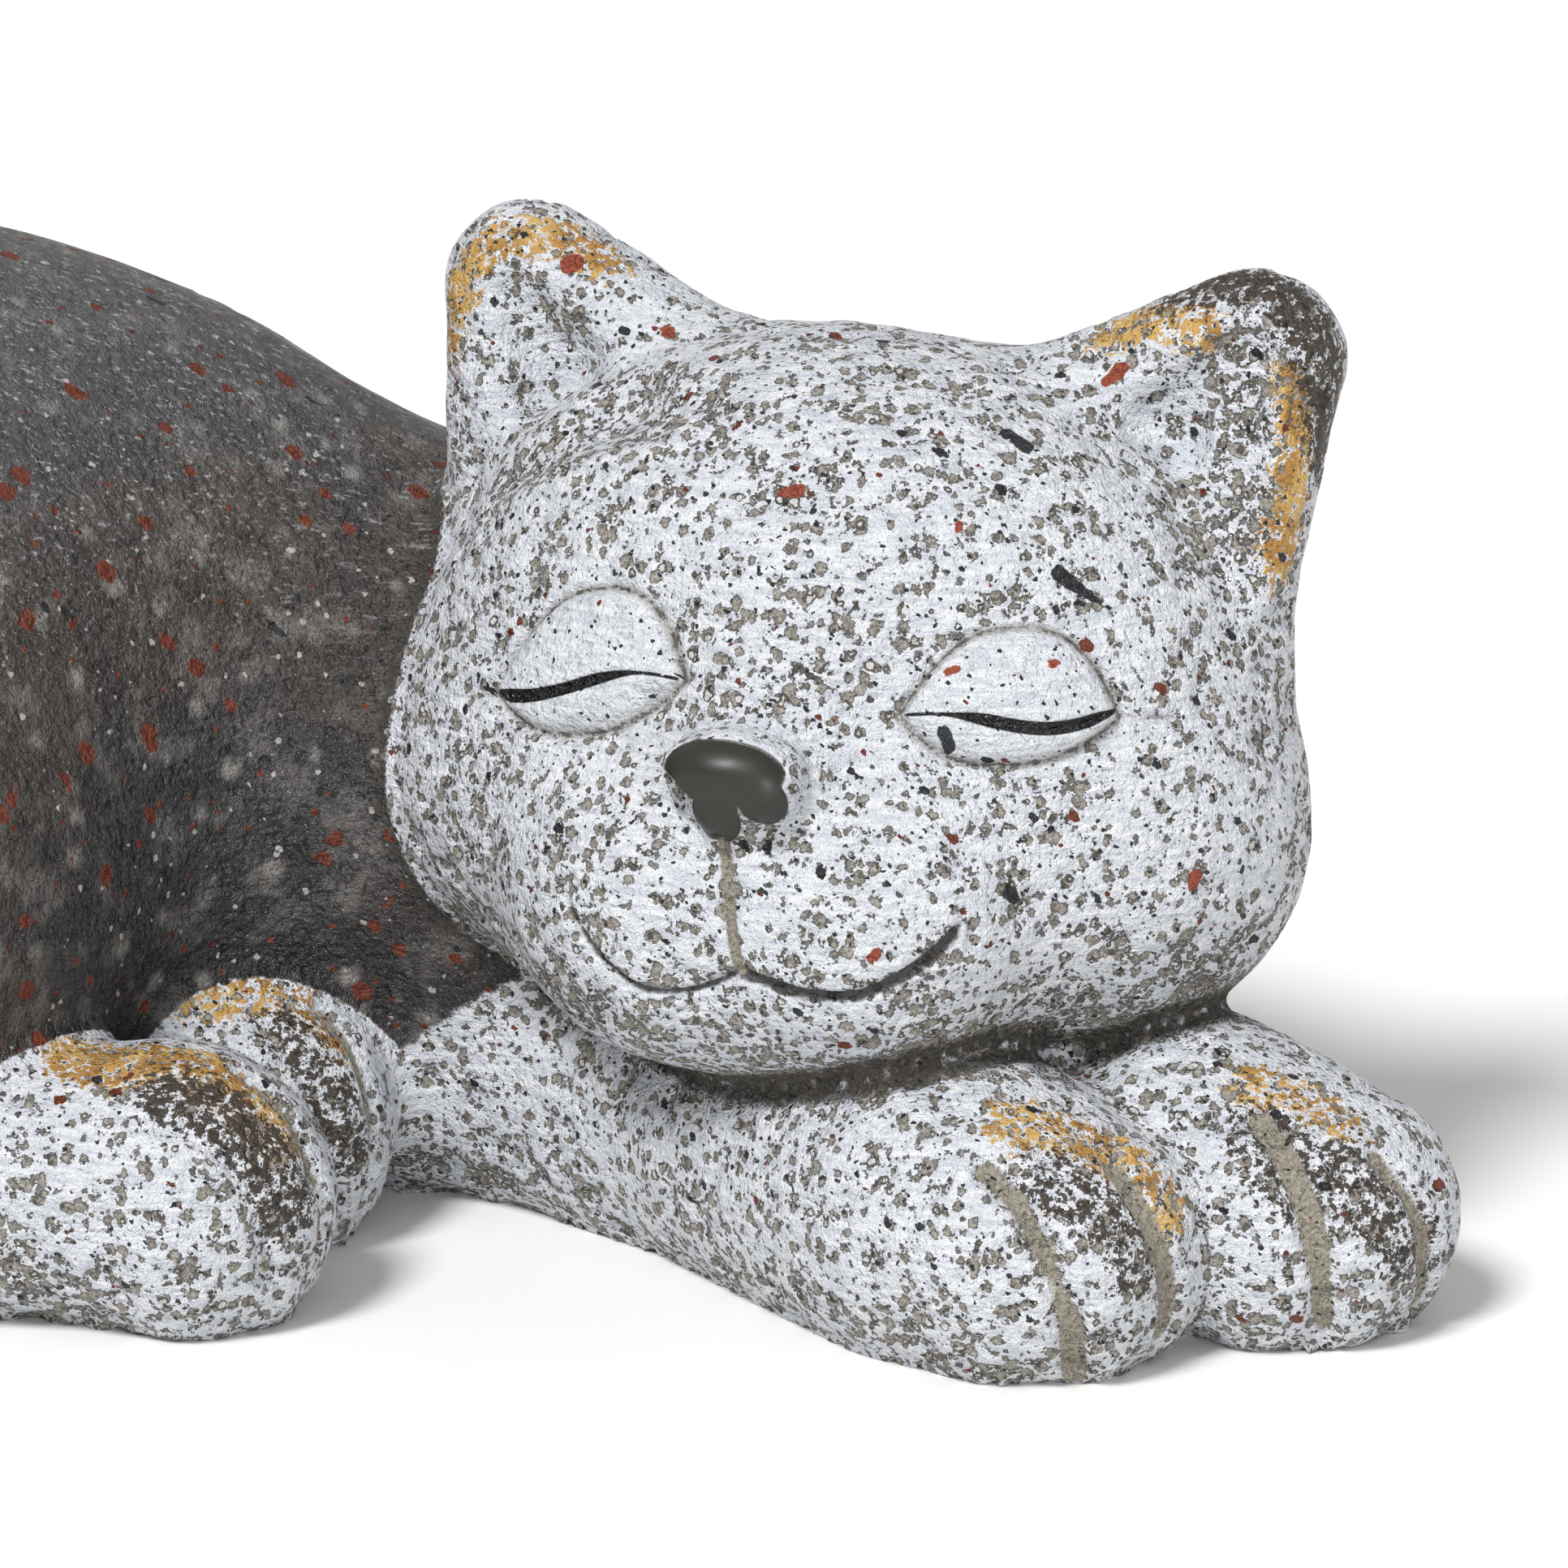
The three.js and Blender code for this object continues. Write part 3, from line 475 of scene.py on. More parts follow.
def hind_foot(paw, heel):
    (x, y), width, height = paw["at"], paw["width"], paw["height"]
    return joined(
        10,
        limb((*heel, 0.5 * height), (x - 0.1 * width, y, 0.49 * height), 0.5 * width, 0.48 * width),
        placed_paw(paw),
    )


hind_feet = joined(
    4, hind_foot(PAWS["near hind"], (-218, -29)), hind_foot(PAWS["far hind"], (-175, 25)))


# Body, in shares of its own length, width and height

def body_lump(centre, radii):
    x, y, z = centre
    place = (BODY_AT[0] + x * BODY_LENGTH, BODY_AT[1] + y * BODY_WIDTH, z * BACK_HEIGHT)
    return ellipsoid(place, (radii[0] * BODY_LENGTH, radii[1] * BODY_WIDTH, radii[2] * BACK_HEIGHT))


body = joined(
    34,
    body_lump((-0.07, -0.035, 0.42), (0.43, 0.46, 0.53)),
    body_lump((0.08, 0.1, 0.42), (0.51, 0.31, 0.52)),
    body_lump((0.6, 0.12, 0.37), (0.32, 0.32, 0.32)),
    body_lump((0.82, 0.07, 0.51), (0.24, 0.22, 0.235)),
    body_lump((-0.07, -0.32, 0.35), (0.29, 0.21, 0.32)),
    body_lump((-0.04, 0.33, 0.33), (0.29, 0.19, 0.31)),
)


def tail_point(share):
    angle = math.radians(TAIL_START + (TAIL_END - TAIL_START) * share)
    drawn_in = 1 - 0.2 * (1 - share) ** 4
    return (
        BODY_AT[0] + 0.47 * BODY_LENGTH * drawn_in * math.cos(angle),
        BODY_AT[1] + 0.5 * BODY_WIDTH * drawn_in * math.sin(angle),
        0.5 * TAIL_WIDTH + 26 * (1 - share) ** 3,
    )


def tail_radius(share):
    return TAIL_WIDTH / 2 * (1.12 - 0.3 * share)


tail_shares = [n / TAIL_LENGTHS for n in range(TAIL_LENGTHS + 1)]
tail = joined(1, *[
    limb(tail_point(a), tail_point(b), tail_radius(a), tail_radius(b))
    for a, b in zip(tail_shares, tail_shares[1:])])


def cat(points):
    distance = body(points)
    for form, blend in ((tail, 7), (hind_feet, 9), (near_foreleg, 9), (far_foreleg, 5), (chest, 5),
                        (placed_head, 5)):
        distance = meet(distance, form(points), blend)
    return distance


def carved_height(points):
    """The height over the smooth form of the eyelids, the face's lines and the grooves between the toes."""
    face = local_points(points, HEAD_CENTRE, HEAD_TURN, HEAD_TILT)
    height = np.where(placed_head(points) < 2.5, face_height(face), 0)
    for paw in PAWS.values():
        from_paw = local_points(points, (*paw["at"], 0), -paw["heading"])
        inside = paw["groove_width"] / 2 - groove_distance(from_paw, paw)
        deep = smoothstep(inside, -GROOVE_FADE, GROOVE_FLAT)
        height -= GROOVE_DEPTH_SHARE * paw["groove_width"] * deep
    return height


def slope_of(form, points):
    rises = [form(points + step) - form(points - step) for step in np.eye(3) * GRADIENT_STEP]
    return np.stack(rises, axis=1) / (2 * GRADIENT_STEP)


def settled(form, points, reach):
    """Moves points onto the form's surface."""
    for _ in range(SETTLE_PASSES):
        distance, slope = form(points), slope_of(form, points)
        square = np.maximum((slope * slope).sum(axis=1), 0.4)
        points = points - slope * np.clip(distance / square, -reach, reach)[:, None]
    return points


# Where the paint lies, on the form, in millimetres: a brush stroke is a line of points, half its width and
# how sparse it is

OCHRE_STROKES = (
    (((-73, 42, 166), (-71, 40, 180), (-65, 38, 188), (-58, 37, 189), (-50, 37, 188), (-44, 34, 184)),
     5.0, 1.0),
    (((50, -2, 180), (60, -4, 181), (67, -9, 181)), 5.5, 1.0),
    (((85, -16, 171), (86, -16, 161), (84, -18, 149), (82, -19, 138)), 4.2, 0.2),
    (((-138, -42, 50), (-129, -46, 50), (-119, -49, 48), (-110, -52, 44), (-104, -54, 38)), 8.0, 0.4),
    (((-120, -4, 50), (-110, -1, 50), (-103, -2, 47), (-97, -6, 41)), 6.5, 1.6),
    (((34, -73, 46), (43, -74, 44), (51, -76, 40), (58, -78, 33)), 8.0, 1.6),
    (((77, -53, 47), (85, -54, 44), (92, -58, 41)), 6.5, 1.8),
    (((-322, 40, 30), (-318, 66, 32), (-306, 90, 34)), 8, 1.0),
)
BROWN_STROKES = (
    (((60, -3, 188), (73, -6, 189), (82, -9, 188), (88, -13, 181), (90, -12, 170), (91, -10, 158)), 5.4, 0),
    (((-122, -55, 46), (-113, -56, 43), (-106, -56, 36), (-101, -57, 26)), 7.0, 0.8),
    (((-105, -7, 43), (-99, -10, 38), (-94, -12, 31), (-92, -11, 23)), 6.0, 1.4),
    (((39, -83, 39), (45, -86, 36), (52, -86, 32), (55, -87, 24)), 7.0, 1.8),
    (((78, -63, 41), (84, -69, 35), (92, -69, 35), (99, -66, 29), (105, -65, 20)), 8.5, 1.9),
)
SPLASH_FLATNESS = 0.4
BLACK_SPLASHES = (
    ((40.5, -42.8, 141.8), (46.5, -42.5, 137.3), 1.5, 0.9),
    ((46.5, -42.5, 137.3), (53.1, -42.5, 132.6), 0.6, 0.3),
    ((19.3, -57.3, 115.0), (20.4, -57.3, 112.4), 1.4, 1.2),
    ((31.4, -63.2, 87.3), (33.2, -63.2, 85.2), 1.5, 0.8),
    ((-30.6, -6.4, 167.8), (-28.6, -6.8, 166.2), 1.3, 0.9),
    ((-44.8, 15.6, 166.0), (-44.4, 15.6, 161.0), 1.0, 0.9),
    ((69.0, -22.9, 146.0), (72.2, -22.9, 141.5), 1.2, 0.8),
    ((-92.8, 10.8, 108.3), (-90.8, 10.8, 108.1), 1.3, 1.2),
    ((-12.6, -65.3, 96.4), (-12.6, -65.3, 95.4), 1.2, 0.8),
    ((39.2, -46.2, 136.8), (40.4, -46.2, 134.8), 0.8, 0.5),
    ((43.8, -44.6, 136.5), (44.8, -44.6, 135.8), 0.8, 0.6),
    ((-63.4, 36.8, 184.0), (-62.2, 36.4, 181.6), 0.9, 0.6),
    ((-64.9, 36.4, 176.2), (-63.7, 36.2, 173.9), 1.0, 0.6),
    ((31.0, -24.8, 164.2), (35.0, -27.6, 161.2), 0.9, 1.1),
    ((-65.6, -16.7, 113.4), (-63.4, -16.7, 112.8), 0.5, 0.8),
)
RUST_SPLASHES = (
    ((-50.4, 33.3, 183.4), (-48.8, 33.3, 184.0), 1.7, 1.5),
    ((-31.8, 22.1, 173.0), (-31.2, 22.1, 172.9), 1.3, 1.2),
    ((49.8, -8.1, 169.4), (52.8, -8.1, 172.2), 0.8, 1.4),
    ((19.9, -50.6, 125.2), (21.9, -50.6, 125.8), 0.9, 0.9),
    ((65.6, -50.6, 86.8), (64.8, -50.6, 84.9), 1.4, 1.1),
    ((5.6, -74.0, 77.3), (7.2, -74.0, 78.8), 0.8, 1.0),
    ((-10.2, -34.5, 154.8), (-6.8, -35.0, 155.8), 0.6, 1.2),
    ((38.5, -51.3, 126.5), (39.3, -51.3, 126.5), 0.9, 0.9),
    ((22.0, -41.6, 150.2), (22.0, -41.6, 149.6), 1.0, 0.9),
)


def stroke_distance(points, strokes):
    nearest = np.full(len(points), 40.0)
    for line, width, sparse in strokes:
        for start, end in zip(line, line[1:]):
            inside = np.maximum(limb(start, end, width, width)(points), -2)
            nearest = np.minimum(nearest, inside + sparse)
    return nearest


def splash_distance(points, splashes):
    """Distances that count less from front to back, because the places are on the uncarved form."""
    flat = np.array([1, SPLASH_FLATNESS, 1])
    return np.min([
        limb(start * flat, end * flat, start_radius, end_radius)(points * flat)
        for start, end, start_radius, end_radius in splashes], axis=0)


def nose_paint_distance(x, z):
    """Seen from the front, how far each face point lies outside the nose's enamel."""
    parts = []
    for (cx, _, cz), (rx, _, rz) in NOSE_LOBES:
        share = np.hypot((x - cx) / rx, (z - NOSE_AT[2] - cz) / rz)
        parts.append((share - 1) * min(rx, rz))
    return np.min(parts, axis=0)


def paint_marks(points):
    """What the materials read, for each point of the surface: mostly distances in millimetres."""
    far = np.full(len(points), 9.0)
    parts = {
        "head": placed_head(points),
        "near leg": np.minimum(near_foreleg(points), chest(points)),
        "far leg": far_foreleg(points),
        "feet": hind_feet(points),
        "body": body(points),
        "tail": tail(points),
    }
    pale = np.min([parts[name] for name in ("head", "near leg", "far leg", "feet")], axis=0)
    second = np.sort(list(parts.values()), axis=0)[1]
    legs = np.minimum(parts["near leg"], parts["far leg"])
    second = np.where(parts["body"] < 1, second, 2 * second)
    beside = np.where(parts["head"] < 1, np.minimum(0.5 * legs, second), second)
    beside = np.where(legs < 1, np.minimum(0.6 * parts["head"], beside), beside)

    face = local_points(points, HEAD_CENTRE, HEAD_TURN, HEAD_TILT)
    on_face = (parts["head"] < 2.5) & (face[:, 1] < -0.15 * HEAD_DEPTH)
    level, crease, lids = eye_marks(face[:, 0], face[:, 2])
    mouth, furrow = mouth_marks(face[:, 0] - FACE_OFF_MIDDLE, face[:, 2])
    nose_skin = nose_paint_distance(face[:, 0] - FACE_OFF_MIDDLE, face[:, 2])
    nose_skin = np.where(face[:, 1] < NOSE_AT[1] + 8, nose_skin, 9)
    wider = np.where(face[:, 0] > FACE_OFF_MIDDLE + MOUTH_OFF_FACE, -0.3, 0.3)

    scoops = np.minimum(left_scoop(face), right_scoop(face))
    groove = far.copy()
    for paw in PAWS.values():
        from_paw = local_points(points, (*paw["at"], 0), -paw["heading"])
        groove = np.minimum(groove, groove_distance(from_paw, paw) - paw["groove_width"] + 2.2)

    return {
        "glazed": np.clip(pale - np.minimum(parts["body"], parts["tail"]), -9, 9),
        # Painted shade: where two parts meet, this mark darkens the paint and thins the wash
        "crevice_shade": 1 - smoothstep(beside, 0.6, 5),
        # Partly bare stone, partly painted shade: deep in the ear hollows this mark thins the wash
        "hollow": np.where(parts["head"] < 1, 1 - smoothstep(np.abs(scoops), 0, 5), 0),
        "eyelid": np.where(on_face, 1 - level, -9).clip(-2, 1),
        "lid_line": np.where(on_face, lids, far),
        "crease": np.where(on_face, crease, far),
        "mouth": np.where(on_face, mouth + wider, far),
        "nose_skin": np.where(on_face, nose_skin, far),
        "bare_line": np.minimum(groove, np.where(on_face, furrow - 0.5 * FURROW_WIDTH, far)),
        "ochre": stroke_distance(points, OCHRE_STROKES),
        "brown": stroke_distance(points, BROWN_STROKES),
        "black_splash": splash_distance(points, BLACK_SPLASHES).clip(-3, 9),
        "rust_splash": splash_distance(points, RUST_SPLASHES).clip(-3, 9),
    }


# The casting's mesh

def deselect_all():
    bpy.ops.object.select_all(action="DESELECT")


def places_of(mesh):
    places = np.empty(3 * len(mesh.vertices), np.float32)
    mesh.vertices.foreach_get("co", places)
    return places.reshape(-1, 3).astype(float)


def form_points(mesh):
    return places_of(mesh) / MM - HEAD_IN_FRAME


def set_form_points(mesh, points):
    places = (points + HEAD_IN_FRAME) * MM
    mesh.vertices.foreach_set("co", places.astype(np.float32).ravel())
    mesh.update()


def face_middles(mesh):
    middles = np.empty(3 * len(mesh.polygons), np.float32)
    mesh.polygons.foreach_get("center", middles)
    return middles.reshape(-1, 3).astype(float) / MM - HEAD_IN_FRAME


def select_faces(mesh, wanted):
    mesh.vertices.foreach_set("select", np.zeros(len(mesh.vertices), bool))
    mesh.edges.foreach_set("select", np.zeros(len(mesh.edges), bool))
    mesh.polygons.foreach_set("select", wanted)


def split_faces(piece, wanted):
    """Splits each of the wanted faces in four."""
    select_faces(piece.data, wanted)
    bpy.ops.object.mode_set(mode="EDIT")
    bpy.ops.mesh.select_mode(type="FACE")
    bpy.ops.mesh.subdivide(number_cuts=1)
    bpy.ops.object.mode_set(mode="OBJECT")


def carved_faces(mesh):
    """The faces of the head's front, its ears and the upper sides of the legs and feet."""
    points = face_middles(mesh)
    feet = np.minimum(np.minimum(near_foreleg(points), far_foreleg(points)), hind_feet(points))
    face = local_points(points, HEAD_CENTRE, HEAD_TURN)
    head_front = (placed_head(points) < FINE_AWAY) & (face[:, 1] < FINE_HEAD_DEPTH)
    front_feet = (feet < FINE_AWAY) & (points[:, 1] < 12) & (points[:, 2] > 1.5) & (body(points) > 4)
    return head_front | front_feet


def finest_faces(mesh):
    """The faces round the eyes, the nose and the mouth."""
    points = face_middles(mesh)
    face = local_points(points, HEAD_CENTRE, HEAD_TURN, HEAD_TILT)
    on_face = (placed_head(points) < FINE_AWAY) & (face[:, 1] < -0.2 * HEAD_DEPTH)
    level, crease, _ = eye_marks(face[:, 0], face[:, 2])
    mouth, furrow = mouth_marks(face[:, 0] - FACE_OFF_MIDDLE, face[:, 2])
    nose_skin = nose_paint_distance(face[:, 0] - FACE_OFF_MIDDLE, face[:, 2])
    near_lines = np.min([crease, mouth, furrow, nose_skin], axis=0) < 2.2
    near_grooves = np.zeros(len(points), bool)
    for paw in PAWS.values():
        from_paw = local_points(points, (*paw["at"], 0), -paw["heading"])
        near_grooves |= groove_distance(from_paw, paw) < 0.5 * paw["groove_width"] + 1
    return (on_face & (near_lines | (level < 1.05))) | near_grooves


def relief(points, marks):
    """The height of the hand-worked surface over the smooth form, and how far each point lies in a dent."""
    lumps = np.array([noise.noise(Vector(p)) for p in points / LUMP_SIZE])
    trowel = np.array([noise.noise(Vector(p)) for p in points / TROWEL_SIZE])
    dents = np.zeros(len(points))
    for n, point in enumerate(points / DENT_SPACING):
        distances, places = noise.voronoi(Vector(point))
        picked = noise.cell(places[0] * DENT_PICK_SPREAD)
        if picked < DENT_SHARE:
            radius = DENT_RADIUS / DENT_SPACING * (0.55 + 0.45 * picked / DENT_SHARE)
            dents[n] = smoothstep(radius - distances[0], -0.3 * radius, 0.6 * radius)
    pale = smoothstep(-marks["glazed"], -1, 3)
    smooth = smoothstep(marks["eyelid"], -0.12, 0.05)
    smooth = np.maximum(smooth, 1 - smoothstep(marks["nose_skin"], 0.5, 2.5))
    rough = (1 - smooth) * (0.35 + 0.65 * pale)
    dents *= rough * smoothstep(np.minimum(marks["crease"], marks["mouth"]), 0.8, 2.5)
    height = rough * (LUMP_HEIGHT * lumps + TROWEL_HEIGHT * trowel) - DENT_DEPTH * dents
    return height + carved_height(points), dents


def make_casting(node):
    deselect_all()
    node.select_set(True)
    bpy.context.view_layer.objects.active = node
    bpy.ops.object.duplicate()
    casting = bpy.context.active_object
    casting.name = "painted_casting"
    del casting["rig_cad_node"]
    casting.data.materials.clear()

    bpy.ops.object.mode_set(mode="EDIT")
    bpy.ops.mesh.select_all(action="SELECT")
    bpy.ops.mesh.remove_doubles(threshold=0.01 * MM)
    bpy.ops.object.mode_set(mode="OBJECT")
    remesh = casting.modifiers.new("even skin", "REMESH")
    remesh.mode = "VOXEL"
    remesh.voxel_size = BASE_GRID * MM
    bpy.ops.object.modifier_apply(modifier=remesh.name)
    split_faces(casting, carved_faces(casting.data))
    split_faces(casting, finest_faces(casting.data))

    mesh = casting.data
    points = form_points(mesh)
    normals = np.empty(3 * len(mesh.vertices), np.float32)
    mesh.vertices.foreach_get("normal", normals)
    under = (points[:, 2] < 0.6 * BASE_GRID) & (normals.reshape(-1, 3)[:, 2] < -0.75)
    points[~under] = settled(cat, points[~under], BASE_GRID)
    points[under | (points[:, 2] < 0), 2] = 0
    set_form_points(mesh, points)
    marks = paint_marks(points)

    height, dents = relief(points, marks)
    mesh.vertices.foreach_get("normal", normals)
    grounded = smoothstep(points[:, 2], 0.2, 4)
    moved = points + normals.reshape(-1, 3) * (height * grounded)[:, None]
    set_form_points(mesh, np.maximum(moved, (-np.inf, -np.inf, 0)))
    marks["dent"] = dents * grounded
    for name, values in marks.items():
        mesh.attributes.new(name, "FLOAT", "POINT").data.foreach_set("value", values.astype(np.float32))

    # The underside is made of a few large flat faces with a crisp edge round them
    heights = places_of(mesh)[:, 2]
    flat = np.array([all(heights[v] < 0.02 * MM for v in face.vertices) for face in mesh.polygons])
    select_faces(mesh, flat)
    bpy.ops.object.mode_set(mode="EDIT")
    bpy.ops.mesh.select_mode(type="FACE")
    bpy.ops.mesh.dissolve_limited(angle_limit=math.radians(1))
    bpy.ops.mesh.quads_convert_to_tris(ngon_method="BEAUTY")
    bpy.ops.mesh.region_to_loop()
    bpy.ops.mesh.mark_sharp()
    bpy.ops.object.mode_set(mode="OBJECT")
    deselect_all()
    casting.select_set(True)
    bpy.ops.object.shade_smooth()
    return casting


# Materials

# Sockets of the Mix node when it mixes colours, its colour result, and its sockets when it mixes numbers
COLOUR_BELOW, COLOUR_ABOVE, COLOUR_RESULT = 6, 7, 2
NUMBER_BELOW, NUMBER_ABOVE = 2, 3

# Noise at real sizes in millimetres, with how many finer layers it has and how strong each of them is
NOISES = {
    "sand grains": (0.7, 2, 0.6),
    "paint skips": (1.8, 3, 0.65),
    "brushed patches": (10, 2, 0.55),
    "broad shades": (60, 2, 0.5),
    "wobbly outlines": (1.3, 2, 0.5),
}

# Thrown paint: the drops' spacing and how far they are stretched, the share of them that is there on the
# whitewash and on the glaze, their largest radius on each, all in millimetres, their colour and roughness
SPLATTER = {
    "white specks": (2.6, 1.2, (0, 0.4), (0.5, 0.7), "#A5A29E", 0.4),
    "fine black": (1.5, 1.3, (0.75, 0.5), (0.35, 0.42), "#1D1F22", 0.45),
    "black drops": (4.6, 1.4, (0.4, 1.1), (0.3, 1.0), "#1A1C1F", 0.4),
    "black streaks": (6.0, 3.0, (0.4, 1.0), (0.55, 1.0), "#1A1B1E", 0.4),
    "fine rust": (3.3, 1.3, (0.3, 0.62), (0.5, 0.8), "#63260F", 0.5),
    "rust drops": (6.2, 1.3, (0.18, 1.4), (0.65, 2.1), "#64270F", 0.45),
}
STREAK_FALL = math.radians(38)
DROP_EDGE = 0.07

# Sizes of the finish in millimetres: across the brush strokes and along the hair strokes, how ragged drops
# are, and how far from its middle a dry brush stroke has faded out
BRUSH_STROKE = 6
HAIR_STROKE = 9
RAGGEDNESS = 1.5
DRY_BRUSH_FADE = 22

# The level of the skip noise under which even the thickest whitewash is missing
WASH_SKIP_LEVEL = 0.39
ENAMEL_HEIGHT = 0.6


def linear(hex_colour):
    """An sRGB hex colour as linear red, green, blue and alpha."""
    channels = [int(hex_colour[n:n + 2], 16) / 255 for n in (1, 3, 5)]
    return (*[c / 12.92 if c <= 0.04045 else ((c + 0.055) / 1.055) ** 2.4 for c in channels], 1)


def add(tree, kind, inputs=None, **settings):
    """Adds a node with its settings. An input is a value, a socket, or a node whose result is read."""
    made = tree.nodes.new("ShaderNode" + kind)
    for name, value in settings.items():
        setattr(made, name, value)
    for name, value in (inputs or {}).items():
        if isinstance(value, bpy.types.Node):
            mixes_colours = getattr(value, "data_type", "") == "RGBA"
            value = value.outputs[COLOUR_RESULT if mixes_colours else 0]
        if isinstance(value, bpy.types.NodeSocket):
            tree.links.new(value, made.inputs[name])
        else:
            made.inputs[name].default_value = value
    return made


def overlap(tree, *limits):
    """Where a coat lies: the share of each place that all its limits leave.

    A limit is a share, or a value with the two levels at which it leaves nothing and all. What else is
    added to the value follows them, each with its own factor.
    """
    left = None
    for limit in limits:
        if isinstance(limit, tuple):
            value, nothing_at, all_at, *added = limit
            for more, factor in added:
                value = add(tree, "Math", {0: more, 1: factor, 2: value}, operation="MULTIPLY_ADD")
            limit = add(tree, "MapRange", {"Value": value, "From Min": nothing_at, "From Max": all_at},
                        interpolation_type="SMOOTHSTEP")
        left = limit if left is None else add(tree, "Math", {0: left, 1: limit}, operation="MULTIPLY")
    return left


def spots(tree, where, spacing, share, largest, smallest):
    """How deep a point lies inside round spots that fill a share of the cells, all in widths of a cell."""
    cells = add(tree, "TexVoronoi", {"Vector": where, "Scale": 1 / spacing})
    pick = add(tree, "SeparateColor", {"Color": cells.outputs["Color"]})
    size = add(tree, "MapRange", {"Value": pick, "From Max": share, "To Min": largest, "To Max": smallest},
               clamp=False)
    return add(tree, "Math", {0: size, 1: cells.outputs["Distance"]}, operation="SUBTRACT")


def painted_cast_stone():
    """Cast stone, a cement and sand mix out of a rubber mould, brush-painted and then spattered by hand.

    The whitewash of the head and feet is thin and skips the pits, so the grey-brown sand shows in them.
    The body has a dark satin glaze that shines on the back, with painted light on its top and painted shade
    low down.
    The nose and lid lines are enamel.
    """
    material = bpy.data.materials.new("painted_cast_stone")
    material.use_nodes = True
    tree = material.node_tree
    tree.nodes.clear()

    where = add(tree, "TexCoord")
    mm = add(tree, "VectorMath", {0: where.outputs["Object"], "Scale": 1 / MM}, operation="SCALE")
    marks = {
        name: add(tree, "Attribute", attribute_name=name).outputs["Fac"]
        for name in ("glazed", "crevice_shade", "hollow", "eyelid", "lid_line", "crease", "mouth", "nose_skin",
                     "bare_line", "ochre", "brown", "black_splash", "rust_splash", "dent")}
    grain, skips, patches, shades, wobble = (
        add(tree, "TexNoise", {"Vector": mm, "Scale": 1 / size, "Detail": layers, "Roughness": strength})
        for size, layers, strength in NOISES.values())
    across = 1 / BRUSH_STROKE
    long_strokes = add(
        tree, "Mapping", {"Vector": mm, "Rotation": (0.2, 0.5, 0.3), "Scale": (across, across, 1)})
    brush = add(tree, "TexNoise", {"Vector": long_strokes, "Scale": 1, "Detail": 2, "Roughness": 0.6})

    # Stiff bristles left hair-like strokes that run down the back
    hair_run = add(
        tree, "Mapping", {"Vector": mm, "Rotation": (0, -0.6, 0.4), "Scale": (1 / HAIR_STROKE, 1, 1)})
    hairs = add(tree, "TexNoise", {"Vector": hair_run, "Scale": 1, "Detail": 3, "Roughness": 0.65})

    # The outlines of drops and pits are a little ragged
    ragged = add(tree, "VectorMath", {0: wobble.outputs["Color"], 1: (RAGGEDNESS,) * 3, 2: mm},
                 operation="MULTIPLY_ADD")

    # Pits of two or three millimetres that the brush passed over
    pit_spots = spots(tree, ragged, spacing=2.5, share=0.8, largest=0.75, smallest=0.1)
    pit = overlap(tree, (pit_spots, -0.12, 0.3))

    skip_edge = add(tree, "Math", {0: grain, 1: 0.3, 2: skips}, operation="MULTIPLY_ADD")
    glaze = overlap(tree, (marks["glazed"], 1.0, 1.8, (skip_edge, 2.2)))
    pale = overlap(tree, (marks["glazed"], 1.8, 1.0, (skip_edge, 2.2)))
    eyelid = overlap(tree, (marks["eyelid"], -0.1, 0.04))
    # Painted shade: faces that point down get a thinner wash, so they show darker
    facing = add(tree, "SeparateXYZ", {"Vector": where.outputs["Normal"]})
    facing_down_shade = overlap(tree, (facing.outputs["Z"], 0.1, -0.8))
    low_down = add(tree, "SeparateXYZ", {"Vector": mm}).outputs["Z"]

    # The whitewash is there where the skip noise is above a level that rises where the coat is thin
    thin = WASH_SKIP_LEVEL
    # Crevices and faces that point down thin the wash as painted shade; in the ear hollows it is partly
    # bare stone, partly painted shade
    for cause, share in (
            (patches, 0.16), (marks["dent"], 0.1), (eyelid, -0.5), (marks["crevice_shade"], 0.25),
            (facing_down_shade, 0.12), (marks["hollow"], 0.1), (pit, 0.3)):
        thin = add(tree, "Math", {0: cause, 1: share, 2: thin}, operation="MULTIPLY_ADD")
    coverage = add(tree, "Math", {0: skip_edge, 1: thin}, operation="SUBTRACT")

    # Each paint's darker and lighter tone, and the noise between them with its levels
    sand, white, dark, sandy, ochre, brown = (
        add(tree, "Mix", {0: overlap(tree, limit), COLOUR_BELOW: linear(darker),
                          COLOUR_ABOVE: linear(lighter)}, data_type="RGBA")
        for darker, lighter, limit in (
            ("#6E6962", "#A7A29A", (grain, 0.3, 0.7)),
            ("#BCC0C8", "#D9DBDF", (brush, 0.3, 0.7)),
            ("#262527", "#403D3E", (brush, 0.25, 0.75)),
            ("#7B766A", "#9E988A", (grain, 0.3, 0.7)),
            ("#A67A38", "#C6A05C", (patches, 0.4, 0.6)),
            ("#2E2822", "#4A4037", (grain, 0.3, 0.7))))

    # Bare stone has a dark rim where the wash stops short of it, a painted shadow of the wash's edge
    bare_with_rim_shadow = add(tree, "Mix", {0: overlap(tree, (coverage, -0.15, -0.03)), COLOUR_BELOW: sand,
                             COLOUR_ABOVE: linear("#49443E")}, data_type="RGBA")

    # Pores are holes left by air whose dark colour is painted shade, each with a bead of sand in it, and
    # blooms are soft whitish spots in the glaze
    pore_spots = spots(tree, mm, spacing=2.7, share=0.6, largest=0.4, smallest=0.05)
    pore = overlap(tree, (pore_spots, -0.02, 0.05, (coverage, -0.8)), pale, (eyelid, 0.5, 0.2))
    bloom_spots = spots(tree, ragged, spacing=7, share=0.55, largest=0.44, smallest=0.16)

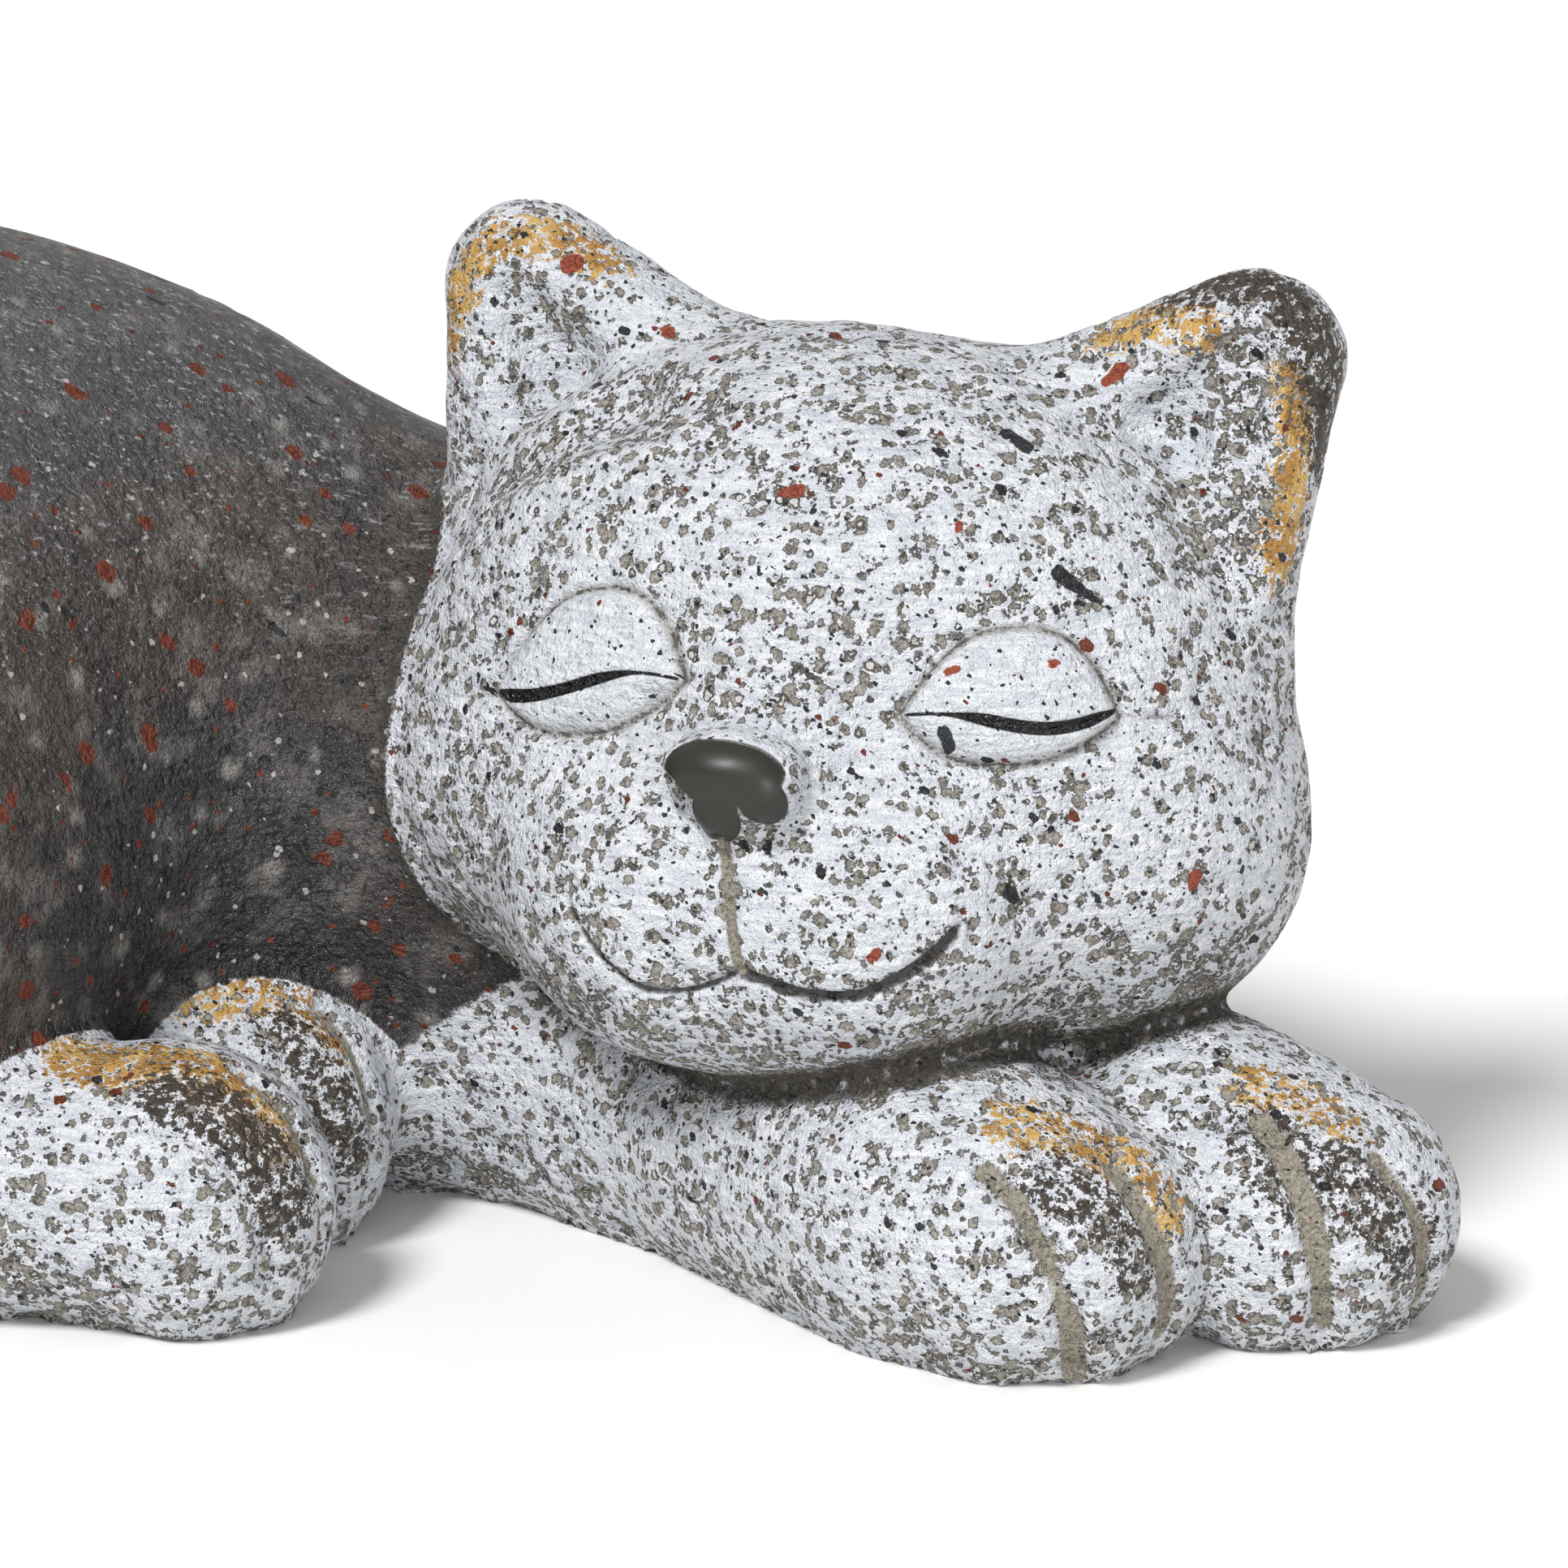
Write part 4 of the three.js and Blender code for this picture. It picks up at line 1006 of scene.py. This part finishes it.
    # Each coat, from the lowest: its limits, colour, roughness and how many millimetres it stands out
    coats = [
        ([(coverage, -0.045, 0.02)], white, 0.38, 0.6),
        # Painted shade in the pores
        ([pore], "#514C45", 0.85, -0.5),
        ([(pore_spots, 0.15, 0.22, (coverage, -0.8)), pore], "#C4C3C1", 0.6, 0),
        ([(skip_edge, 0.63, 0.69, (marks["ochre"], -1 / DRY_BRUSH_FADE)), pale], ochre, 0.6, 0),
        ([(skip_edge, 0.63, 0.69, (marks["brown"], -1 / DRY_BRUSH_FADE)), pale], brown, 0.55, 0),
        ([glaze], dark, 0.27, 0),
        ([glaze, (shades, 0.42, 0.6), 0.6], "#4A4036", 0.3, 0),
        # Painted shade: the glaze is darker towards the bottom of the body
        ([glaze, (low_down, 95, 25), 0.8], "#201E1F", 0.3, 0),
        ([glaze, (patches, 0.5, 0.7), 0.4], "#7F7B77", 0.36, 0),
        ([glaze, (patches, 0.48, 0.3), 0.5], "#211F20", 0.24, 0),
        # Painted light: the glaze is lighter grey on the top of the body
        ([glaze, (low_down, 120, 190), 0.4], "#707073", 0.3, 0),
        # Light-grey brush strokes on the upper back, which partly stand for painted highlight there
        ([glaze, (low_down, 90, 165), (hairs, 0.55, 0.72)], "#A3A3A5", 0.35, 0),
        ([(bloom_spots, -0.05, 0.45), overlap(tree, glaze, 0.6)], "#A9A5A0", 0.4, 0),
        # Painted shade in the carved eyelid crease: a soft brown-grey band and a dark line at its bottom
        ([(marks["crease"], 1.6, 0.8, (grain, 1.0)), 0.6], "#857E73", 0.7, 0),
        ([(marks["crease"], 1.25, 0.85, (skips, 1.6)), 0.85], "#3A3631", 0.7, 0),
        ([(marks["mouth"], 1.9, 1.3, (skips, 1.4)), 0.92], "#35312D", 0.7, 0),
        ([(marks["bare_line"], 0.7, 0.2, (grain, 0.8))], sandy, 0.85, 0),
        # Painted shade: a dark grey-brown in the crevices between parts
        ([(skip_edge, 0.9, 1.2, (marks["crevice_shade"], 0.75)), 0.9], "#3D3934", 0.85, 0),
    ]
    for spacing, stretch, on_whitewash, on_glaze, colour, roughness in SPLATTER.values():
        drops_at = add(tree, "Mapping", {"Vector": ragged, "Location": (spacing, 2 * spacing, 0),
                                         "Rotation": (0, STREAK_FALL, 0), "Scale": (stretch, 1, 1)},
                       vector_type="TEXTURE")
        share, radius = (
            add(tree, "Mix", {0: glaze, NUMBER_BELOW: below, NUMBER_ABOVE: above})
            for below, above in zip(on_whitewash, on_glaze))
        largest = add(tree, "Math", {0: radius, 1: 1 / spacing}, operation="MULTIPLY")
        drops = spots(tree, drops_at, spacing, share, largest, 0)
        coats.append(([(drops, 0, DROP_EDGE / spacing)], colour, roughness, 0))
    coats += [
        ([(marks["black_splash"], 0.5, 0.3, (wobble, 0.8))], "#1B1D20", 0.35, 0),
        ([(marks["rust_splash"], 0.5, 0.3, (wobble, 0.8))], "#8B3E27", 0.5, 0),
        ([(marks["nose_skin"], 0.12, -0.12)], "#26241F", 0.42, 0),
        ([(marks["lid_line"], 0.12, -0.12)], "#0E0F10", 0.16, 0),
    ]

    colour, roughness = bare_with_rim_shadow, 0.9
    height = add(tree, "Math", {0: grain, 1: 0.5}, operation="MULTIPLY")
    for limits, coat_colour, coat_roughness, proud in coats:
        here = overlap(tree, *limits)
        if isinstance(coat_colour, str):
            coat_colour = linear(coat_colour)
        colour = add(tree, "Mix", {0: here, COLOUR_BELOW: colour, COLOUR_ABOVE: coat_colour},
                     data_type="RGBA")
        roughness = add(tree, "Mix", {0: here, NUMBER_BELOW: roughness, NUMBER_ABOVE: coat_roughness})
        if proud:
            height = add(tree, "Math", {0: here, 1: proud, 2: height}, operation="MULTIPLY_ADD")
    for unevenness, rise in ((brush, 0.12), (skips, 1.9), (pit, -0.4)):
        height = add(tree, "Math", {0: unevenness, 1: rise, 2: height}, operation="MULTIPLY_ADD")

    # Enamel fills the surface under it, so the nose is smooth
    enamel = overlap(tree, (marks["nose_skin"], 0.3, -0.3))
    height = add(tree, "Mix", {0: enamel, NUMBER_BELOW: height, NUMBER_ABOVE: ENAMEL_HEIGHT})
    bump = add(tree, "Bump", {"Height": height, "Strength": 1, "Distance": MM})
    surface = add(tree, "BsdfPrincipled", {"Base Color": colour, "Roughness": roughness, "Normal": bump,
                                           "IOR": 1.5})
    add(tree, "OutputMaterial", {"Surface": surface})
    return material


# The scene: camera, light and floor

def frame_place(point):
    return Vector((np.array(point, float) + HEAD_IN_FRAME) * MM)


def make_camera():
    rise = math.radians(CAMERA_ELEVATION)
    eye = CAMERA_AIM + CAMERA_DISTANCE * np.array([0, -math.cos(rise), math.sin(rise)])
    bpy.ops.object.camera_add(location=frame_place(eye), rotation=(math.pi / 2 - rise, 0, 0))
    camera = bpy.context.active_object
    camera.data.sensor_width = SENSOR_WIDTH
    camera.data.lens = SENSOR_WIDTH * CAMERA_DISTANCE / (MM_PER_PIXEL * PHOTO_PIXELS)
    bpy.context.scene.camera = camera


def make_light():
    world = bpy.data.worlds.new("white studio")
    world.use_nodes = True
    sky = world.node_tree.nodes["Background"]
    sky.inputs["Color"].default_value = (1, 1, 1, 1)
    sky.inputs["Strength"].default_value = STUDIO_STRENGTH
    bpy.context.scene.world = world
    pitch, roll = (math.radians(angle) for angle in SUN_TURN)
    bpy.ops.object.light_add(type="SUN", location=(-1, -1, 2), rotation=(pitch, roll, 0))
    sun = bpy.context.active_object.data
    sun.energy = SUN_STRENGTH
    sun.angle = math.radians(SUN_WIDTH)

    # A small lamp beside the camera, which glints in the glaze where the back meets the head
    bpy.ops.object.light_add(type="AREA", location=frame_place(GLINT_AT + LAMP_AWAY * GLINT_TOWARDS))
    lamp = bpy.context.active_object
    lamp.rotation_euler = Vector(GLINT_TOWARDS).to_track_quat("Z", "Y").to_euler()
    lamp.data.size = LAMP_SIZE * MM
    lamp.data.energy = LAMP_POWER


def make_floor():
    bpy.ops.mesh.primitive_plane_add(size=FLOOR_SIZE, location=(0, 0, -FLOOR_DROP * MM))
    floor = bpy.context.active_object
    floor.name = "floor"
    bpy.ops.object.transform_apply(location=True, rotation=False, scale=False)

    # Matt painted board takes a soft shadow and hardly any reflection
    material = bpy.data.materials.new("pale_studio_floor")
    material.use_nodes = True
    surface = material.node_tree.nodes["Principled BSDF"]
    surface.inputs["Base Color"].default_value = linear("#F4F4F2")
    surface.inputs["Roughness"].default_value = 0.8
    floor.data.materials.append(material)


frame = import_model()
deselect_all()
make_camera()
make_light()
make_floor()
bpy.context.scene.view_settings.view_transform = "Standard"

casting = make_casting(frame["nodes"]["cat_statue"])
casting.data.materials.append(painted_cast_stone())
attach(casting, "root")
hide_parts("cat_statue")
